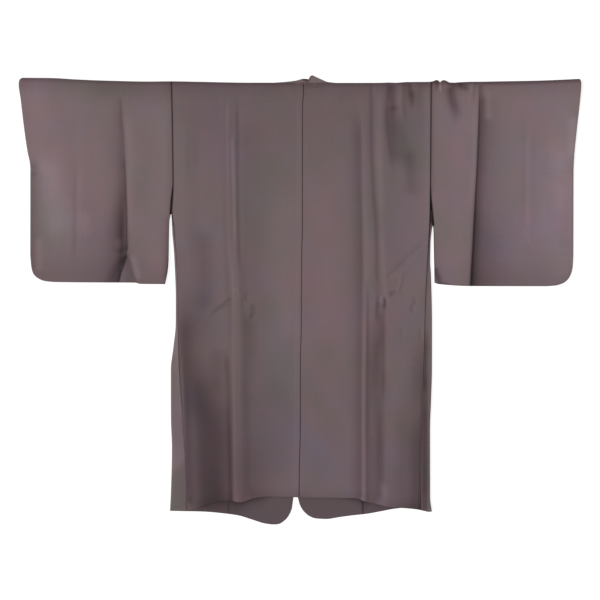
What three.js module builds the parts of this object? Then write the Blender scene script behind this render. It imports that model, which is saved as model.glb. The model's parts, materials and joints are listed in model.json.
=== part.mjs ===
// A kimono coat laid flat on its front, with its back upwards and its sleeves out to the sides.
// Millimetres. +X is to the viewer's right, +Y towards the collar, +Z up from the floor.
// The origin is the middle of the laid outline, on the floor.
// "Drop" is the distance below the shoulder line, so y = SHOULDER_Y - drop.
import * as THREE from 'three';

// Driving sizes
const CLOTH = 1.2; // wall of a panel: the cloth with its turnings
const FACING_CLOTH = 1.0; // wall of the front facings
const SEAM_GAP = 0.3; // left open between two panels at a seam
const CURVED_SEAM_GAP = 0.5; // the same where a seam curves
const ARMHOLE_GAP = 0.4;
const ARMHOLE_DROP = 240; // the sleeve is sewn to the body down to here
const SHOULDER_Y = 506.7;
const CENTRE_BACK_X = 7; // the centre back seam
const FACING_WIDTH = 151;
const FACING_INSET = 3; // the front's own edge shows this far outside its facing
const COLLAR_WIDTH = 50;
const COLLAR_THICK = 2.4; // the collar is a doubled band
const NECK_HOLE_DROP = 45; // the collar's inner edge at the back of the neck
const COLLAR_START_DROP = 15; // from here up the band turns the corner into the back neck
const COLLAR_END_DROP = 396;

// Heights of the upper layer's outer side above the floor
const UPPER_ON_BODY = 4.3; // over the front, its facing and the air between them
const UPPER_ON_SLEEVE = 3.0;
const SHOULDER_ROLL = 6.2; // over the shoulder fold
const ROLL_RUN = 70; // how far below the shoulder the roll settles
const SLEEVE_RUN = 60; // how far out from the armhole the sleeve settles
const NECK_RUN = 45; // how far inside the neck the roll dies away
const GUSSET_FOLD_HEIGHT = 3.6; // where the gusset is wide
const GUSSET_NARROW = 8; // up to this width its fold is as high as its seam
const GUSSET_WIDE = 28;
const FOLD_STEPS = 5; // facets round a fold
const CREST_RUN = 7; // the steep side of a sleeve's fold
const ROLL_UNDER_FOLD = 0.4; // the part of the shoulder roll that stays under a fold
const MOST_MITRE = 2; // the inner side is moved in by no more than this many thicknesses

// Rows of every leaf: fixed drops down to below the armhole, then shares of what is left
const UPPER_DROPS = [SHOULDER_ROLL / 2, 9, 20, 40, 70, 110, 155, 200, 240];
const ARMPIT_DROPS = [280, 320, 345];
const SLEEVE_SHARES = [0.25, 0.5, 0.75, 0.92, 1];
const BODY_SHARES = Array.from({ length: 12 }, (_, k) => (k + 1) / 12);
const CUFF_OPENING_DROP = 200; // the sleeve's outer edge is open above this, and sewn below

// The top line, which rises towards the sleeve ends
const TOP_LINE = curve([
  { x: -652, drop: -9 }, { x: -580, drop: -8.5 }, { x: -520, drop: -5.5 }, { x: -460, drop: -3 },
  { x: -300, drop: -0.5 }, { x: -90, drop: 1 }, { x: 95, drop: 1.5 }, { x: 300, drop: 0 },
  { x: 420, drop: -2 }, { x: 550, drop: -4 }, { x: 652, drop: -8 },
], 'x', 'drop');

// The two halves of the coat. They lie a little differently, so each has its own tables.
const LEFT = {
  side: -1,
  sleeve: {
    openEdge: [
      { drop: 240, x: -294 }, { drop: 275, x: -298.5 }, { drop: 313, x: -301 }, { drop: 345, x: -304 },
      { drop: 436, x: -305 }, { drop: 470, x: -313 },
    ],
    openEdgeUnder: [
      { drop: 240, x: -294 }, { drop: 297, x: -297.4 }, { drop: 354, x: -302.5 }, { drop: 436, x: -302.5 },
      { drop: 470, x: -312 },
    ],
    outer: [
      { drop: -9, x: -650 }, { drop: 5, x: -651.9 }, { drop: 42, x: -649.5 }, { drop: 111, x: -638 },
      { drop: 200, x: -626 }, { drop: 402, x: -626 },
    ],
    bottom: [
      { x: -626, drop: 402 }, { x: -622, drop: 436 }, { x: -617, drop: 446 }, { x: -608, drop: 455 },
      { x: -598, drop: 459.5 }, { x: -575, drop: 464 }, { x: -487, drop: 466 }, { x: -383, drop: 466.5 },
      { x: -370, drop: 469.5 }, { x: -313, drop: 470 },
    ],
    tuck: [{ drop: 0, x: -415 }, { drop: 470, x: -399 }],
  },
  back: {
    edge: [
      { drop: 0, x: -297 }, { drop: 120, x: -295 }, { drop: 240, x: -293.6 }, { drop: 304, x: -296.5 },
      { drop: 345, x: -291 }, { drop: 482, x: -283 }, { drop: 575, x: -282 }, { drop: 645, x: -280 },
      { drop: 726, x: -275 }, { drop: 807, x: -269.5 }, { drop: 868, x: -265.5 }, { drop: 950, x: -262 },
      { drop: 996, x: -262 },
    ],
    ridges: [[{ drop: 0, x: -163 }, { drop: 560, x: -160 }, { drop: 1000, x: -144 }]],
    hem: [
      { x: -300, drop: 994 }, { x: -262, drop: 994 }, { x: -223, drop: 991 }, { x: -192, drop: 976 },
      { x: -162, drop: 970 }, { x: -137, drop: 974.5 }, { x: -94, drop: 963 }, { x: -60, drop: 961.5 },
      { x: 8, drop: 964.5 },
    ],
    ridgeShares: [[0, 0.25, 0.5, 0.72, 0.88], [0, 0.22, 0.5, 0.78, 0.92]],
  },
  front: {
    edge: [
      { drop: 0, x: -297 }, { drop: 120, x: -295 }, { drop: 240, x: -293.6 }, { drop: 280, x: -295.4 },
      { drop: 320, x: -296 }, { drop: 345, x: -289 }, { drop: 996, x: -275 },
    ],
    opening: [
      { drop: 0, x: -81 }, { drop: 60, x: -74 }, { drop: 200, x: -50 }, { drop: 400, x: -15.5 },
      { drop: 1026, x: -15.5 },
    ],
    hem: [
      { x: -300, drop: 995 }, { x: -232, drop: 995 }, { x: -172, drop: 1000 }, { x: -116, drop: 1012.5 },
      { x: -79, drop: 1025 }, { x: -60, drop: 1027.5 }, { x: -44, drop: 1022.5 }, { x: -30, drop: 1010 },
      { x: -21, drop: 993 }, { x: -15.5, drop: 966 },
    ],
  },
  gusset: {
    fold: [
      { drop: 345, x: -297 }, { drop: 399, x: -292 }, { drop: 507, x: -288 }, { drop: 561, x: -288.2 },
      { drop: 615, x: -293.5 }, { drop: 669, x: -299.5 }, { drop: 780, x: -299.3 }, { drop: 850, x: -297 },
      { drop: 950, x: -299.3 }, { drop: 996, x: -301.6 },
    ],
  },
  neckX: -81,
};

const RIGHT = {
  side: 1,
  sleeve: {
    openEdge: [
      { drop: 240, x: 302.7 }, { drop: 300, x: 305.5 }, { drop: 366, x: 310.5 }, { drop: 436, x: 312.5 },
      { drop: 470, x: 313 },
    ],
    openEdgeUnder: [
      { drop: 240, x: 302.7 }, { drop: 320, x: 304.6 }, { drop: 380, x: 309 }, { drop: 470, x: 312 },
    ],
    outer: [
      { drop: -8, x: 650 }, { drop: 5, x: 651.9 }, { drop: 42, x: 649.5 }, { drop: 111, x: 642 },
      { drop: 200, x: 634.5 }, { drop: 400, x: 634 },
    ],
    bottom: [
      { x: 313, drop: 467 }, { x: 322, drop: 469.8 }, { x: 392, drop: 474.4 }, { x: 573, drop: 474.4 },
      { x: 589, drop: 472 }, { x: 602, drop: 469 }, { x: 612, drop: 463.5 }, { x: 621, drop: 455 },
      { x: 628, drop: 442 }, { x: 634, drop: 400 },
    ],
    tuck: [{ drop: 0, x: 416 }, { drop: 200, x: 410 }, { drop: 475, x: 393 }],
  },
  back: {
    edge: [
      { drop: 0, x: 304 }, { drop: 120, x: 303.2 }, { drop: 240, x: 302.3 }, { drop: 304, x: 301.5 },
      { drop: 345, x: 299.8 }, { drop: 507, x: 291.2 }, { drop: 599, x: 288.8 }, { drop: 738, x: 284.2 },
      { drop: 854, x: 280.7 }, { drop: 996, x: 279.6 },
    ],
    ridges: [
      [{ drop: 0, x: 196 }, { drop: 400, x: 200 }, { drop: 1000, x: 203 }],
      [{ drop: 0, x: 149 }, { drop: 1000, x: 147 }],
    ],
    hem: [
      { x: 6, drop: 964.5 }, { x: 102, drop: 965.7 }, { x: 138, drop: 968 }, { x: 159, drop: 976 },
      { x: 200, drop: 984 }, { x: 242, drop: 987 }, { x: 265, drop: 990 }, { x: 280, drop: 994 },
      { x: 300, drop: 994 },
    ],
    ridgeShares: [[0, 0.3, 0.6, 0.84], [0, 0.3, 0.5, 0.75], [0, 0.3, 0.65, 0.87]],
  },
  front: {
    edge: [
      { drop: 0, x: 304 }, { drop: 120, x: 303.2 }, { drop: 240, x: 302.3 }, { drop: 320, x: 303.5 },
      { drop: 345, x: 296 }, { drop: 996, x: 258.7 },
    ],
    opening: [
      { drop: 0, x: 95 }, { drop: 60, x: 88 }, { drop: 200, x: 58 }, { drop: 400, x: -4.6 },
      { drop: 1026, x: -4.6 },
    ],
    hem: [
      { x: -4.6, drop: 980 }, { x: 0, drop: 989.5 }, { x: 11, drop: 1002 }, { x: 28, drop: 1010 },
      { x: 58, drop: 1013.5 }, { x: 107, drop: 1007 }, { x: 153, drop: 1002 }, { x: 204, drop: 994 },
      { x: 236, drop: 988 }, { x: 300, drop: 989 },
    ],
  },
  gusset: {
    fold: [
      { drop: 345, x: 304.5 }, { drop: 453, x: 304 }, { drop: 561, x: 306.2 }, { drop: 669, x: 306 },
      { drop: 738, x: 304 }, { drop: 807, x: 301.6 }, { drop: 960, x: 301.8 }, { drop: 996, x: 306 },
    ],
  },
  neckX: 95,
};

// Folds in the upper layer: where the crest runs, how high it stands and how far it reaches each way.
// A short run is the steep side. The fold grows from its first drop over the length of its fade.
const RISES = [
  { crest: LEFT.sleeve.tuck, rise: 3.1, leftRun: CREST_RUN, rightRun: 75, from: 6, fade: 60 },
  { crest: RIGHT.sleeve.tuck, rise: 3.1, leftRun: 75, rightRun: CREST_RUN, from: 6, fade: 40 },
  { crest: LEFT.back.ridges[0], rise: 1.9, leftRun: 70, rightRun: 22, from: 30, fade: 150 },
  { crest: RIGHT.back.ridges[0], rise: 1.9, leftRun: 26, rightRun: 60, from: 10, fade: 80 },
  { crest: RIGHT.back.ridges[1], rise: 1.1, leftRun: 16, rightRun: 22, from: 30, fade: 150 },
].map((row) => ({ ...row, crestX: curve(row.crest, 'drop', 'x') }));

// A smooth curve through a table's rows that never overshoots them: value as a function of place.
function curve(rows, place, value) {
  const at = rows.map((row) => row[place]);
  const to = rows.map((row) => row[value]);
  const last = at.length - 1;
  const slopes = at.slice(1).map((next, i) => (to[i + 1] - to[i]) / (next - at[i]));
  const tangents = at.map((_, i) => {
    if (i === 0) return slopes[0];
    if (i === last) return slopes[last - 1];
    const product = slopes[i - 1] * slopes[i];
    return product <= 0 ? 0 : (2 * product) / (slopes[i - 1] + slopes[i]);
  });
  return (p) => {
    if (p <= at[0]) return to[0];
    if (p >= at[last]) return to[last];
    const i = at.findIndex((next) => next > p) - 1;
    const width = at[i + 1] - at[i];
    const t = (p - at[i]) / width;
    const s = 1 - t;
    const bend = t * s * width;
    return to[i] * s * s * (1 + 2 * t) + to[i + 1] * t * t * (1 + 2 * s)
      + bend * (s * tangents[i] - t * tangents[i + 1]);
  };
}

const mix = (a, b, share) => a + (b - a) * share;
const clamped = (t) => Math.min(1, Math.max(0, t));
const eased = (t) => clamped(t) ** 2 * (3 - 2 * clamped(t));

// Height of the upper layer's outer side: its rest height, the shoulder roll and the folds.
// At the neck nothing turns over the shoulder, so there the cloth doesn't roll.
function upperHeight(x, drop) {
  const fromArmhole = Math.max(LEFT.back.edge[0].x - x, x - RIGHT.back.edge[0].x);
  const rest = mix(UPPER_ON_BODY, UPPER_ON_SLEEVE, eased(fromArmhole / SLEEVE_RUN));
  const insideNeck = Math.min(x - LEFT.neckX, RIGHT.neckX - x);
  const roll = (SHOULDER_ROLL - rest) * (1 - eased(drop / ROLL_RUN)) * (1 - eased(insideNeck / NECK_RUN));
  const folds = RISES.map((row) => {
    const out = x - row.crestX(drop);
    const run = out < 0 ? row.leftRun : row.rightRun;
    return row.rise * (1 - eased(Math.abs(out) / run)) * eased((drop - row.from) / row.fade);
  });
  return rest + Math.max(roll, ...folds.map((fold) => fold + roll * ROLL_UNDER_FOLD), 0);
}

// Columns of a leaf: each span runs from one guide line to the next, divided at the given shares.
function columnsThrough(spans) {
  return spans.flatMap(({ from, to, shares }) => (
    shares.map((share) => (drop) => mix(from(drop), to(drop), share))
  ));
}

// A sheet of four-cornered cells on a grid of points, columns by rows. Cells are left out where keep says so.
// A turned sheet has its outer side on the other side of the grid.
function gridSheet(rows, turned, keep = () => true) {
  const wide = rows[0].length;
  const points = rows.flat();
  const cells = [];
  for (let j = 0; j + 1 < rows.length; j += 1) {
    for (let i = 0; i + 1 < wide; i += 1) {
      const near = j * wide + i;
      const far = near + wide;
      if (keep(i, j)) cells.push([near, near + 1, far + 1, far]);
    }
  }
  return { points, cells, wide, turned };
}

// The closed wall of a sheet: its outer side, its inner side one thickness below, and a rim along its edges.
function wallOf({ points, cells: plain, turned }, thick) {
  const cells = turned ? plain.map((cell) => [...cell].reverse()) : plain;
  const faceNormals = cells.map(([a, b, c, d]) => {
    const across = points[c].clone().sub(points[a]);
    return across.cross(points[d].clone().sub(points[b])).normalize();
  });
  const around = points.map(() => []);
  cells.forEach((cell, f) => cell.forEach((v) => around[v].push(faceNormals[f])));
  const used = points.map((_, v) => around[v].length > 0);
  const inner = points.map((point, v) => {
    if (!used[v]) return point;
    const normal = around[v].reduce((sum, n) => sum.add(n), new THREE.Vector3()).normalize();
    const least = Math.max(1 / MOST_MITRE, Math.min(...around[v].map((n) => n.dot(normal))));
    return point.clone().addScaledVector(normal, -thick / least);
  });
  const count = points.length;
  const quads = cells.flatMap((cell) => [cell, [...cell].reverse().map((v) => v + count)]);
  const directed = new Set(cells.flatMap((cell) => cell.map((v, k) => `${v} ${cell[(k + 1) % 4]}`)));
  directed.forEach((edge) => {
    const [a, b] = edge.split(' ').map(Number);
    if (!directed.has(`${b} ${a}`)) quads.push([b, a, a + count, b + count]);
  });
  return meshData([...points, ...inner], quads);
}

// An indexed geometry from points and four-cornered faces, each cut along its shorter diagonal.
function meshData(points, quads) {
  const index = quads.flatMap(([a, b, c, d]) => (
    points[a].distanceToSquared(points[c]) <= points[b].distanceToSquared(points[d])
      ? [a, b, c, a, c, d] : [a, b, d, b, c, d]
  ));
  const kept = [...new Set(index)];
  const place = new Map(kept.map((v, k) => [v, k]));
  const numbers = kept.flatMap((v) => points[v].toArray());
  const geometry = new THREE.BufferGeometry();
  geometry.setAttribute('position', new THREE.Float32BufferAttribute(numbers, 3));
  geometry.setIndex(index.map((v) => place.get(v)));
  geometry.computeVertexNormals();
  return geometry;
}

// The points of a fold from the upper leaf's end over to the lower leaf's, in one column.
function foldPoints(upper) {
  const radius = upper.z / 2;
  return Array.from({ length: FOLD_STEPS - 1 }, (_, k) => {
    const angle = (Math.PI * (k + 1)) / FOLD_STEPS;
    return new THREE.Vector3(upper.x, upper.y + radius * Math.sin(angle), radius + radius * Math.cos(angle));
  });
}

// One leaf's rows of points, from the top row to the bottom one. A column's place changes with its drop,
// so its drop in a row is worked out twice: roughly, and then where that puts the column.
function leafRows(columns, fixedDrops, shares, bottomAt, heightAt) {
  const lastFixed = fixedDrops[fixedDrops.length - 1];
  const rowDrops = [
    ...fixedDrops.map((fixed) => (top) => top + fixed),
    ...shares.map((share) => (top, bottom) => mix(top + lastFixed, bottom, share)),
  ];
  return rowDrops.map((dropOf) => columns.map((column) => {
    const roughX = column(dropOf(0, bottomAt(column(lastFixed))));
    const drop = dropOf(TOP_LINE(roughX), bottomAt(roughX));
    const x = column(drop);
    return new THREE.Vector3(x, SHOULDER_Y - drop, heightAt(x, drop));
  }));
}

// One half of the body: a single length of cloth from the back hem, over the shoulder, to the front hem.
function bodyHalf({ side, back, front, neckX }) {
  const centreX = CENTRE_BACK_X + (side * SEAM_GAP) / 2;
  const edge = curve(back.edge, 'drop', 'x');
  const guides = [edge, ...back.ridges.map((rows) => curve(rows, 'drop', 'x')), () => neckX];
  const overShoulder = columnsThrough(back.ridgeShares.map((shares, k) => ({
    from: guides[k], to: guides[k + 1], shares,
  })));
  const acrossNeck = columnsThrough([{ from: () => neckX, to: () => centreX, shares: [0, 0.35, 0.7, 1] }]);
  const neckColumn = overShoulder.length;
  const fixedDrops = [...UPPER_DROPS, ...ARMPIT_DROPS];
  const backHem = curve(back.hem, 'x', 'drop');
  const upper = leafRows([...overShoulder, ...acrossNeck], fixedDrops, BODY_SHARES, backHem, upperHeight);
  upper[0].slice(neckColumn + 1).forEach((point) => {
    point.y = SHOULDER_Y - TOP_LINE(point.x);
  });

  const frontEdge = curve(front.edge, 'drop', 'x');
  const opening = curve(front.opening, 'drop', 'x');
  const shoulderX = [...overShoulder, () => neckX].map((column) => column(0));
  const frontColumns = shoulderX.map((x) => {
    const share = (x - edge(0)) / (neckX - edge(0));
    return (drop) => mix(frontEdge(drop), opening(drop), share);
  });
  const frontHem = curve(front.hem, 'x', 'drop');
  const lower = leafRows(frontColumns, fixedDrops, BODY_SHARES, frontHem, () => 0);

  const wide = upper[0].length;
  const padded = (row) => [...row, ...Array(wide - row.length).fill(row[row.length - 1])];
  const folds = upper[0].slice(0, neckColumn + 1).map(foldPoints);
  const foldRows = Array.from({ length: FOLD_STEPS - 1 }, (_, k) => padded(folds.map((fold) => fold[k])));
  const rows = [...upper.toReversed(), ...foldRows, ...lower.map(padded)];
  const lastUpper = upper.length - 1;
  return wallOf(gridSheet(rows, side > 0, (i, j) => j < lastUpper || i < neckColumn), CLOTH);
}

// A sleeve: one length of cloth folded at the top and sewn along the bottom, the corner and the outer edge
// up to the cuff opening. Its inner edge is sewn to the body above and open below.
function sleeve({ side, back, sleeve: cut }) {
  const armhole = curve(back.edge, 'drop', 'x');
  const [openEdge, openEdgeUnder, outer, tuck] = [cut.openEdge, cut.openEdgeUnder, cut.outer, cut.tuck]
    .map((rows) => curve(rows, 'drop', 'x'));
  const innerEdge = (below) => (drop) => (
    drop < ARMHOLE_DROP ? armhole(drop) + side * ARMHOLE_GAP : below(drop)
  );
  const foot = (drop) => tuck(drop) + side * CREST_RUN;
  const outerShares = [0, 0.16, 0.34, 0.52, 0.68, 0.8, 0.88, 0.935, 0.97, 0.99, 1];
  const columnsFrom = (edge) => columnsThrough([
    { from: edge, to: tuck, shares: [0, 0.28, 0.56, 0.82] },
    { from: tuck, to: foot, shares: [0] },
    { from: foot, to: outer, shares: outerShares },
  ]);
  const bottom = curve(cut.bottom, 'x', 'drop');
  const upper = leafRows(columnsFrom(innerEdge(openEdge)), UPPER_DROPS, SLEEVE_SHARES, bottom, upperHeight);
  const lower = leafRows(columnsFrom(innerEdge(openEdgeUnder)), UPPER_DROPS, SLEEVE_SHARES, bottom, () => 0);
  const folds = upper[0].map(foldPoints);
  const foldRows = Array.from({ length: FOLD_STEPS - 1 }, (_, k) => folds.map((fold) => fold[k]));
  const rows = [...upper.toReversed(), ...foldRows, ...lower];
  const sheet = gridSheet(rows, side < 0);
  const { wide } = sheet;
  const end = rows.length - 1;
  const at = (i, j) => j * wide + i;
  for (let i = 0; i + 1 < wide; i += 1) {
    sheet.cells.push([at(i, end), at(i + 1, end), at(i + 1, 0), at(i, 0)]);
  }
  const closedRows = UPPER_DROPS.length - UPPER_DROPS.indexOf(CUFF_OPENING_DROP) - 1 + SLEEVE_SHARES.length;
  const rim = wide - 1;
  for (let j = 0; j < closedRows; j += 1) {
    sheet.cells.push([at(rim, j + 1), at(rim, j), at(rim, end - j), at(rim, end - j - 1)]);
  }
  return wallOf(sheet, CLOTH);
}

// A gusset: a long narrow panel between back and front, folded lengthwise so that half of it shows.
function gusset({ side, back, front, gusset: cut }) {
  const backEdge = curve(back.edge, 'drop', 'x');
  const frontEdge = curve(front.edge, 'drop', 'x');
  const fold = curve(cut.fold, 'drop', 'x');
  const topDrop = ARMPIT_DROPS[ARMPIT_DROPS.length - 1];
  const hemDrop = back.hem.find((row) => Math.abs(row.x) >= 280).drop;
  const rows = [0, ...BODY_SHARES].map((share) => {
    const drop = mix(topDrop + TOP_LINE(backEdge(topDrop)), hemDrop, share);
    const y = SHOULDER_Y - drop;
    const seamX = backEdge(drop) + side * CURVED_SEAM_GAP;
    const seamZ = upperHeight(seamX, drop);
    const width = Math.abs(fold(drop) - seamX);
    const openness = clamped((width - GUSSET_NARROW) / (GUSSET_WIDE - GUSSET_NARROW));
    const foldZ = mix(seamZ, GUSSET_FOLD_HEIGHT, openness);
    const radius = foldZ / 2;
    const bendX = fold(drop) - side * radius;
    const lowerX = frontEdge(drop) + side * CURVED_SEAM_GAP;
    const across = [0, 0.5, 1].map((s) => new THREE.Vector3(mix(seamX, bendX, s), y, mix(seamZ, foldZ, s)));
    const bend = Array.from({ length: FOLD_STEPS - 1 }, (_, k) => {
      const angle = (Math.PI * (k + 1)) / FOLD_STEPS;
      return new THREE.Vector3(bendX + side * radius * Math.sin(angle), y, radius + radius * Math.cos(angle));
    });
    const backUnder = [0, 0.5, 1].map((s) => new THREE.Vector3(mix(bendX, lowerX, s), y, 0));
    return [...across, ...bend, ...backUnder];
  });
  return wallOf(gridSheet(rows, side > 0), CLOTH);
}

// A front facing: it lies on the inside of the front, from the hem to the shoulder.
function facing({ side, front }) {
  const opening = curve(front.opening, 'drop', 'x');
  const hem = curve(front.hem, 'x', 'drop');
  const hemX = front.opening[front.opening.length - 1].x;
  const farX = hemX + side * FACING_WIDTH;
  const columns = columnsThrough([{
    from: () => farX,
    to: (drop) => opening(drop) + side * FACING_INSET,
    shares: [0, 0.3, 0.6, 0.78, 0.89, 0.96, 1],
  }]);
  const height = CLOTH + SEAM_GAP + FACING_CLOTH;
  const rows = leafRows(columns, [12, 40, 110, 200, 300, 400], BODY_SHARES.filter((_, k) => k % 2),
    (x) => hem(x) - FACING_INSET, () => height);
  return wallOf(gridSheet(rows, side < 0), FACING_CLOTH);
}

// The collar: a doubled band round the back of the neck and down both sides of the V, which peeks out above
// the shoulder line at the back.
function collar() {
  const peek = [
    { x: -79.5, drop: 4 }, { x: -69, drop: 1 }, { x: -42, drop: -2 }, { x: -16, drop: -4 },
    { x: 9, drop: -7 }, { x: 17.5, drop: -4.6 }, { x: 27.5, drop: -14 }, { x: 42, drop: -9 },
    { x: 65, drop: 0.5 }, { x: 93.5, drop: 4 },
  ];
  const place = (x, drop) => new THREE.Vector2(x, SHOULDER_Y - drop);
  const seamDrops = [...UPPER_DROPS, ...ARMPIT_DROPS, COLLAR_END_DROP]
    .filter((drop) => drop > COLLAR_START_DROP).toReversed();
  const band = ({ side, front }, other) => {
    const opening = curve(front.opening, 'drop', 'x');
    const otherOpening = curve(other.front.opening, 'drop', 'x');
    const outer = seamDrops.map((drop) => {
      const down = drop + TOP_LINE(opening(drop));
      return place(opening(down) - side * CURVED_SEAM_GAP, down);
    });
    const inner = seamDrops.map((_, k) => {
      const drop = mix(COLLAR_END_DROP, NECK_HOLE_DROP, k / (seamDrops.length - 1));
      const free = opening(drop) - side * COLLAR_WIDTH;
      const middle = (opening(drop) + otherOpening(drop)) / 2 + side * SEAM_GAP * 2;
      return place(side < 0 ? Math.min(free, middle) : Math.max(free, middle), drop + 1);
    });
    return { outer, inner };
  };
  const left = band(LEFT, RIGHT);
  const right = band(RIGHT, LEFT);
  const outline = [
    ...left.outer, ...peek.map(({ x, drop }) => place(x, drop)), ...right.outer.toReversed(),
    ...right.inner, ...left.inner.toReversed(),
  ];
  return new THREE.ExtrudeGeometry(new THREE.Shape(outline), { depth: COLLAR_THICK, bevelEnabled: false });
}

const clothColour = (name, color, roughness) => new THREE.MeshStandardMaterial({
  name, color, roughness, metalness: 0, side: THREE.DoubleSide,
});
const COAT_CLOTH = clothColour('coat cloth', 0x6a5b5f, 0.82);
const INSIDE_CLOTH = clothColour('inside cloth', 0x5d4f53, 0.86);

function piece(name, geometry, material) {
  const mesh = new THREE.Mesh(geometry, material);
  mesh.name = name;
  return mesh;
}

const coat = new THREE.Group();
coat.name = 'kimono_coat';
for (const [word, half] of [['left', LEFT], ['right', RIGHT]]) {
  coat.add(
    piece(`body_${word}`, bodyHalf(half), COAT_CLOTH),
    piece(`sleeve_${word}`, sleeve(half), COAT_CLOTH),
    piece(`gusset_${word}`, gusset(half), COAT_CLOTH),
    piece(`facing_${word}`, facing(half), INSIDE_CLOTH),
  );
}
coat.add(piece('collar', collar(), COAT_CLOTH));

export default coat;
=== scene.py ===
# %% [markdown]
# # A kimono coat, laid flat
# The coat is plain matte silk, laid on its fronts with its back upwards and its sleeves out to the sides.
# It is one garment of nine pieces of cloth: two long body lengths, two sleeves, two side gussets, two front
# facings and a collar. The solid model says where each of them lies. This lesson makes the cloth itself: a
# thin shell on each solid's form, with its seams, creases and weave.
# First the solid model is loaded. Everything after this is placed in its frame, in metres, with +X to the
# viewer's right, +Y towards the collar and +Z up from the floor.

# %% Load the solid model
import json
import math
from collections import namedtuple
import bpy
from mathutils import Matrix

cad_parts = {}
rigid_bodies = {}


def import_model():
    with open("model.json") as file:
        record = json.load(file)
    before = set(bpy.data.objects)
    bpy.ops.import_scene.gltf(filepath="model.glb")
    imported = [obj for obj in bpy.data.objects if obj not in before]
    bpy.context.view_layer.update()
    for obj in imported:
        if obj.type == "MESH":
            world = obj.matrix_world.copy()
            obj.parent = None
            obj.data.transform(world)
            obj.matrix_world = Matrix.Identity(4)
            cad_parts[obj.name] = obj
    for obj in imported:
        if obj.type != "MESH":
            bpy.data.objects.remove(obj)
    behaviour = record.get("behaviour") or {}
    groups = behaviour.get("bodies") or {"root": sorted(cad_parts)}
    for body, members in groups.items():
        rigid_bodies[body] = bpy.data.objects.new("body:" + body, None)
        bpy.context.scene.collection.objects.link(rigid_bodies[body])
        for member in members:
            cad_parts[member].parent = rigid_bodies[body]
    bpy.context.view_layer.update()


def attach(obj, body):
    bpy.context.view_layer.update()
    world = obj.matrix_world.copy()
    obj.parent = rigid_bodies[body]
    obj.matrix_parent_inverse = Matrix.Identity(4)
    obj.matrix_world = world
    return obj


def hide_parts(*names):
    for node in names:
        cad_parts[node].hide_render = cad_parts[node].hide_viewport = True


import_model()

from types import SimpleNamespace

import bmesh
import bpy
import numpy as np

bpy.ops.object.select_all(action="DESELECT")
MM = 0.001

# %% [markdown]
# ## Guide lines
# A maker knows a kimono by a few lines: the shoulder, the seams and the hem. Each is a short table of places
# in millimetres. "Drop" is the distance below the shoulder line. A smooth curve runs through each table and
# never swings past its rows, so a straight seam stays straight beside a bend.

# %% A smooth curve through a short table
SHOULDER_Y = 506.7  # mm from the frame's origin up to the shoulder line


def smooth_curve(rows):
    """The curve through (place, value) rows, as a function of place, for numbers or whole arrays."""
    at, to = (np.array(side, dtype=float) for side in zip(*rows))
    slopes = np.diff(to) / np.diff(at)
    tangents = np.concatenate((slopes[:1], np.zeros(len(slopes) - 1), slopes[-1:]))
    steady = slopes[:-1] * slopes[1:] > 0
    before, after = slopes[:-1][steady], slopes[1:][steady]
    tangents[1:-1][steady] = 2 * before * after / (before + after)

    def value(place):
        held = np.clip(place, at[0], at[-1])
        i = np.clip(np.searchsorted(at, held, side="right") - 1, 0, len(slopes) - 1)
        width = at[i + 1] - at[i]
        t = (held - at[i]) / width
        s = 1 - t
        bend = t * s * width * (s * tangents[i] - t * tangents[i + 1])
        return to[i] * s * s * (1 + 2 * t) + to[i + 1] * t * t * (1 + 2 * s) + bend

    return value


def eased(t):
    """0 up to 0, 1 from 1 on, and a soft S between them."""
    held = np.clip(t, 0, 1)
    return held * held * (3 - 2 * held)


top_line = smooth_curve([
    (-652, -8.6), (-580, -7.9), (-520, -4.7), (-460, -2.2), (-348, 0.2), (-300, -0.3), (-232, 0.9),
    (-116, 2.9), (6, 2.9), (18, 1.9), (48, 1.9), (64, 3.2), (95, 3.4), (186, 3.2), (206, 2.4), (225, 2.9),
    (250, 1.2), (290, 1.1), (300, 0.9), (308, -0.5), (317, -3.5), (320.5, -2.4), (324.5, 2.4), (328, -1.6),
    (333, -3), (338, -2), (346, 2.3), (352, 2.8), (372, 1.6), (394, 0.9), (420, 0.6), (464, -0.2),
    (557, -2), (652, -6),
])
print("top line:", float(top_line(-652)), "mm at the left cuff,", float(top_line(652)), "mm at the right one")

# %% [markdown]
# The two halves of the coat lie a little differently, so each has its own tables. They repeat the sizes that
# the solid model was made from: (drop, x) for lines that run down, (x, drop) for hems.

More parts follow.
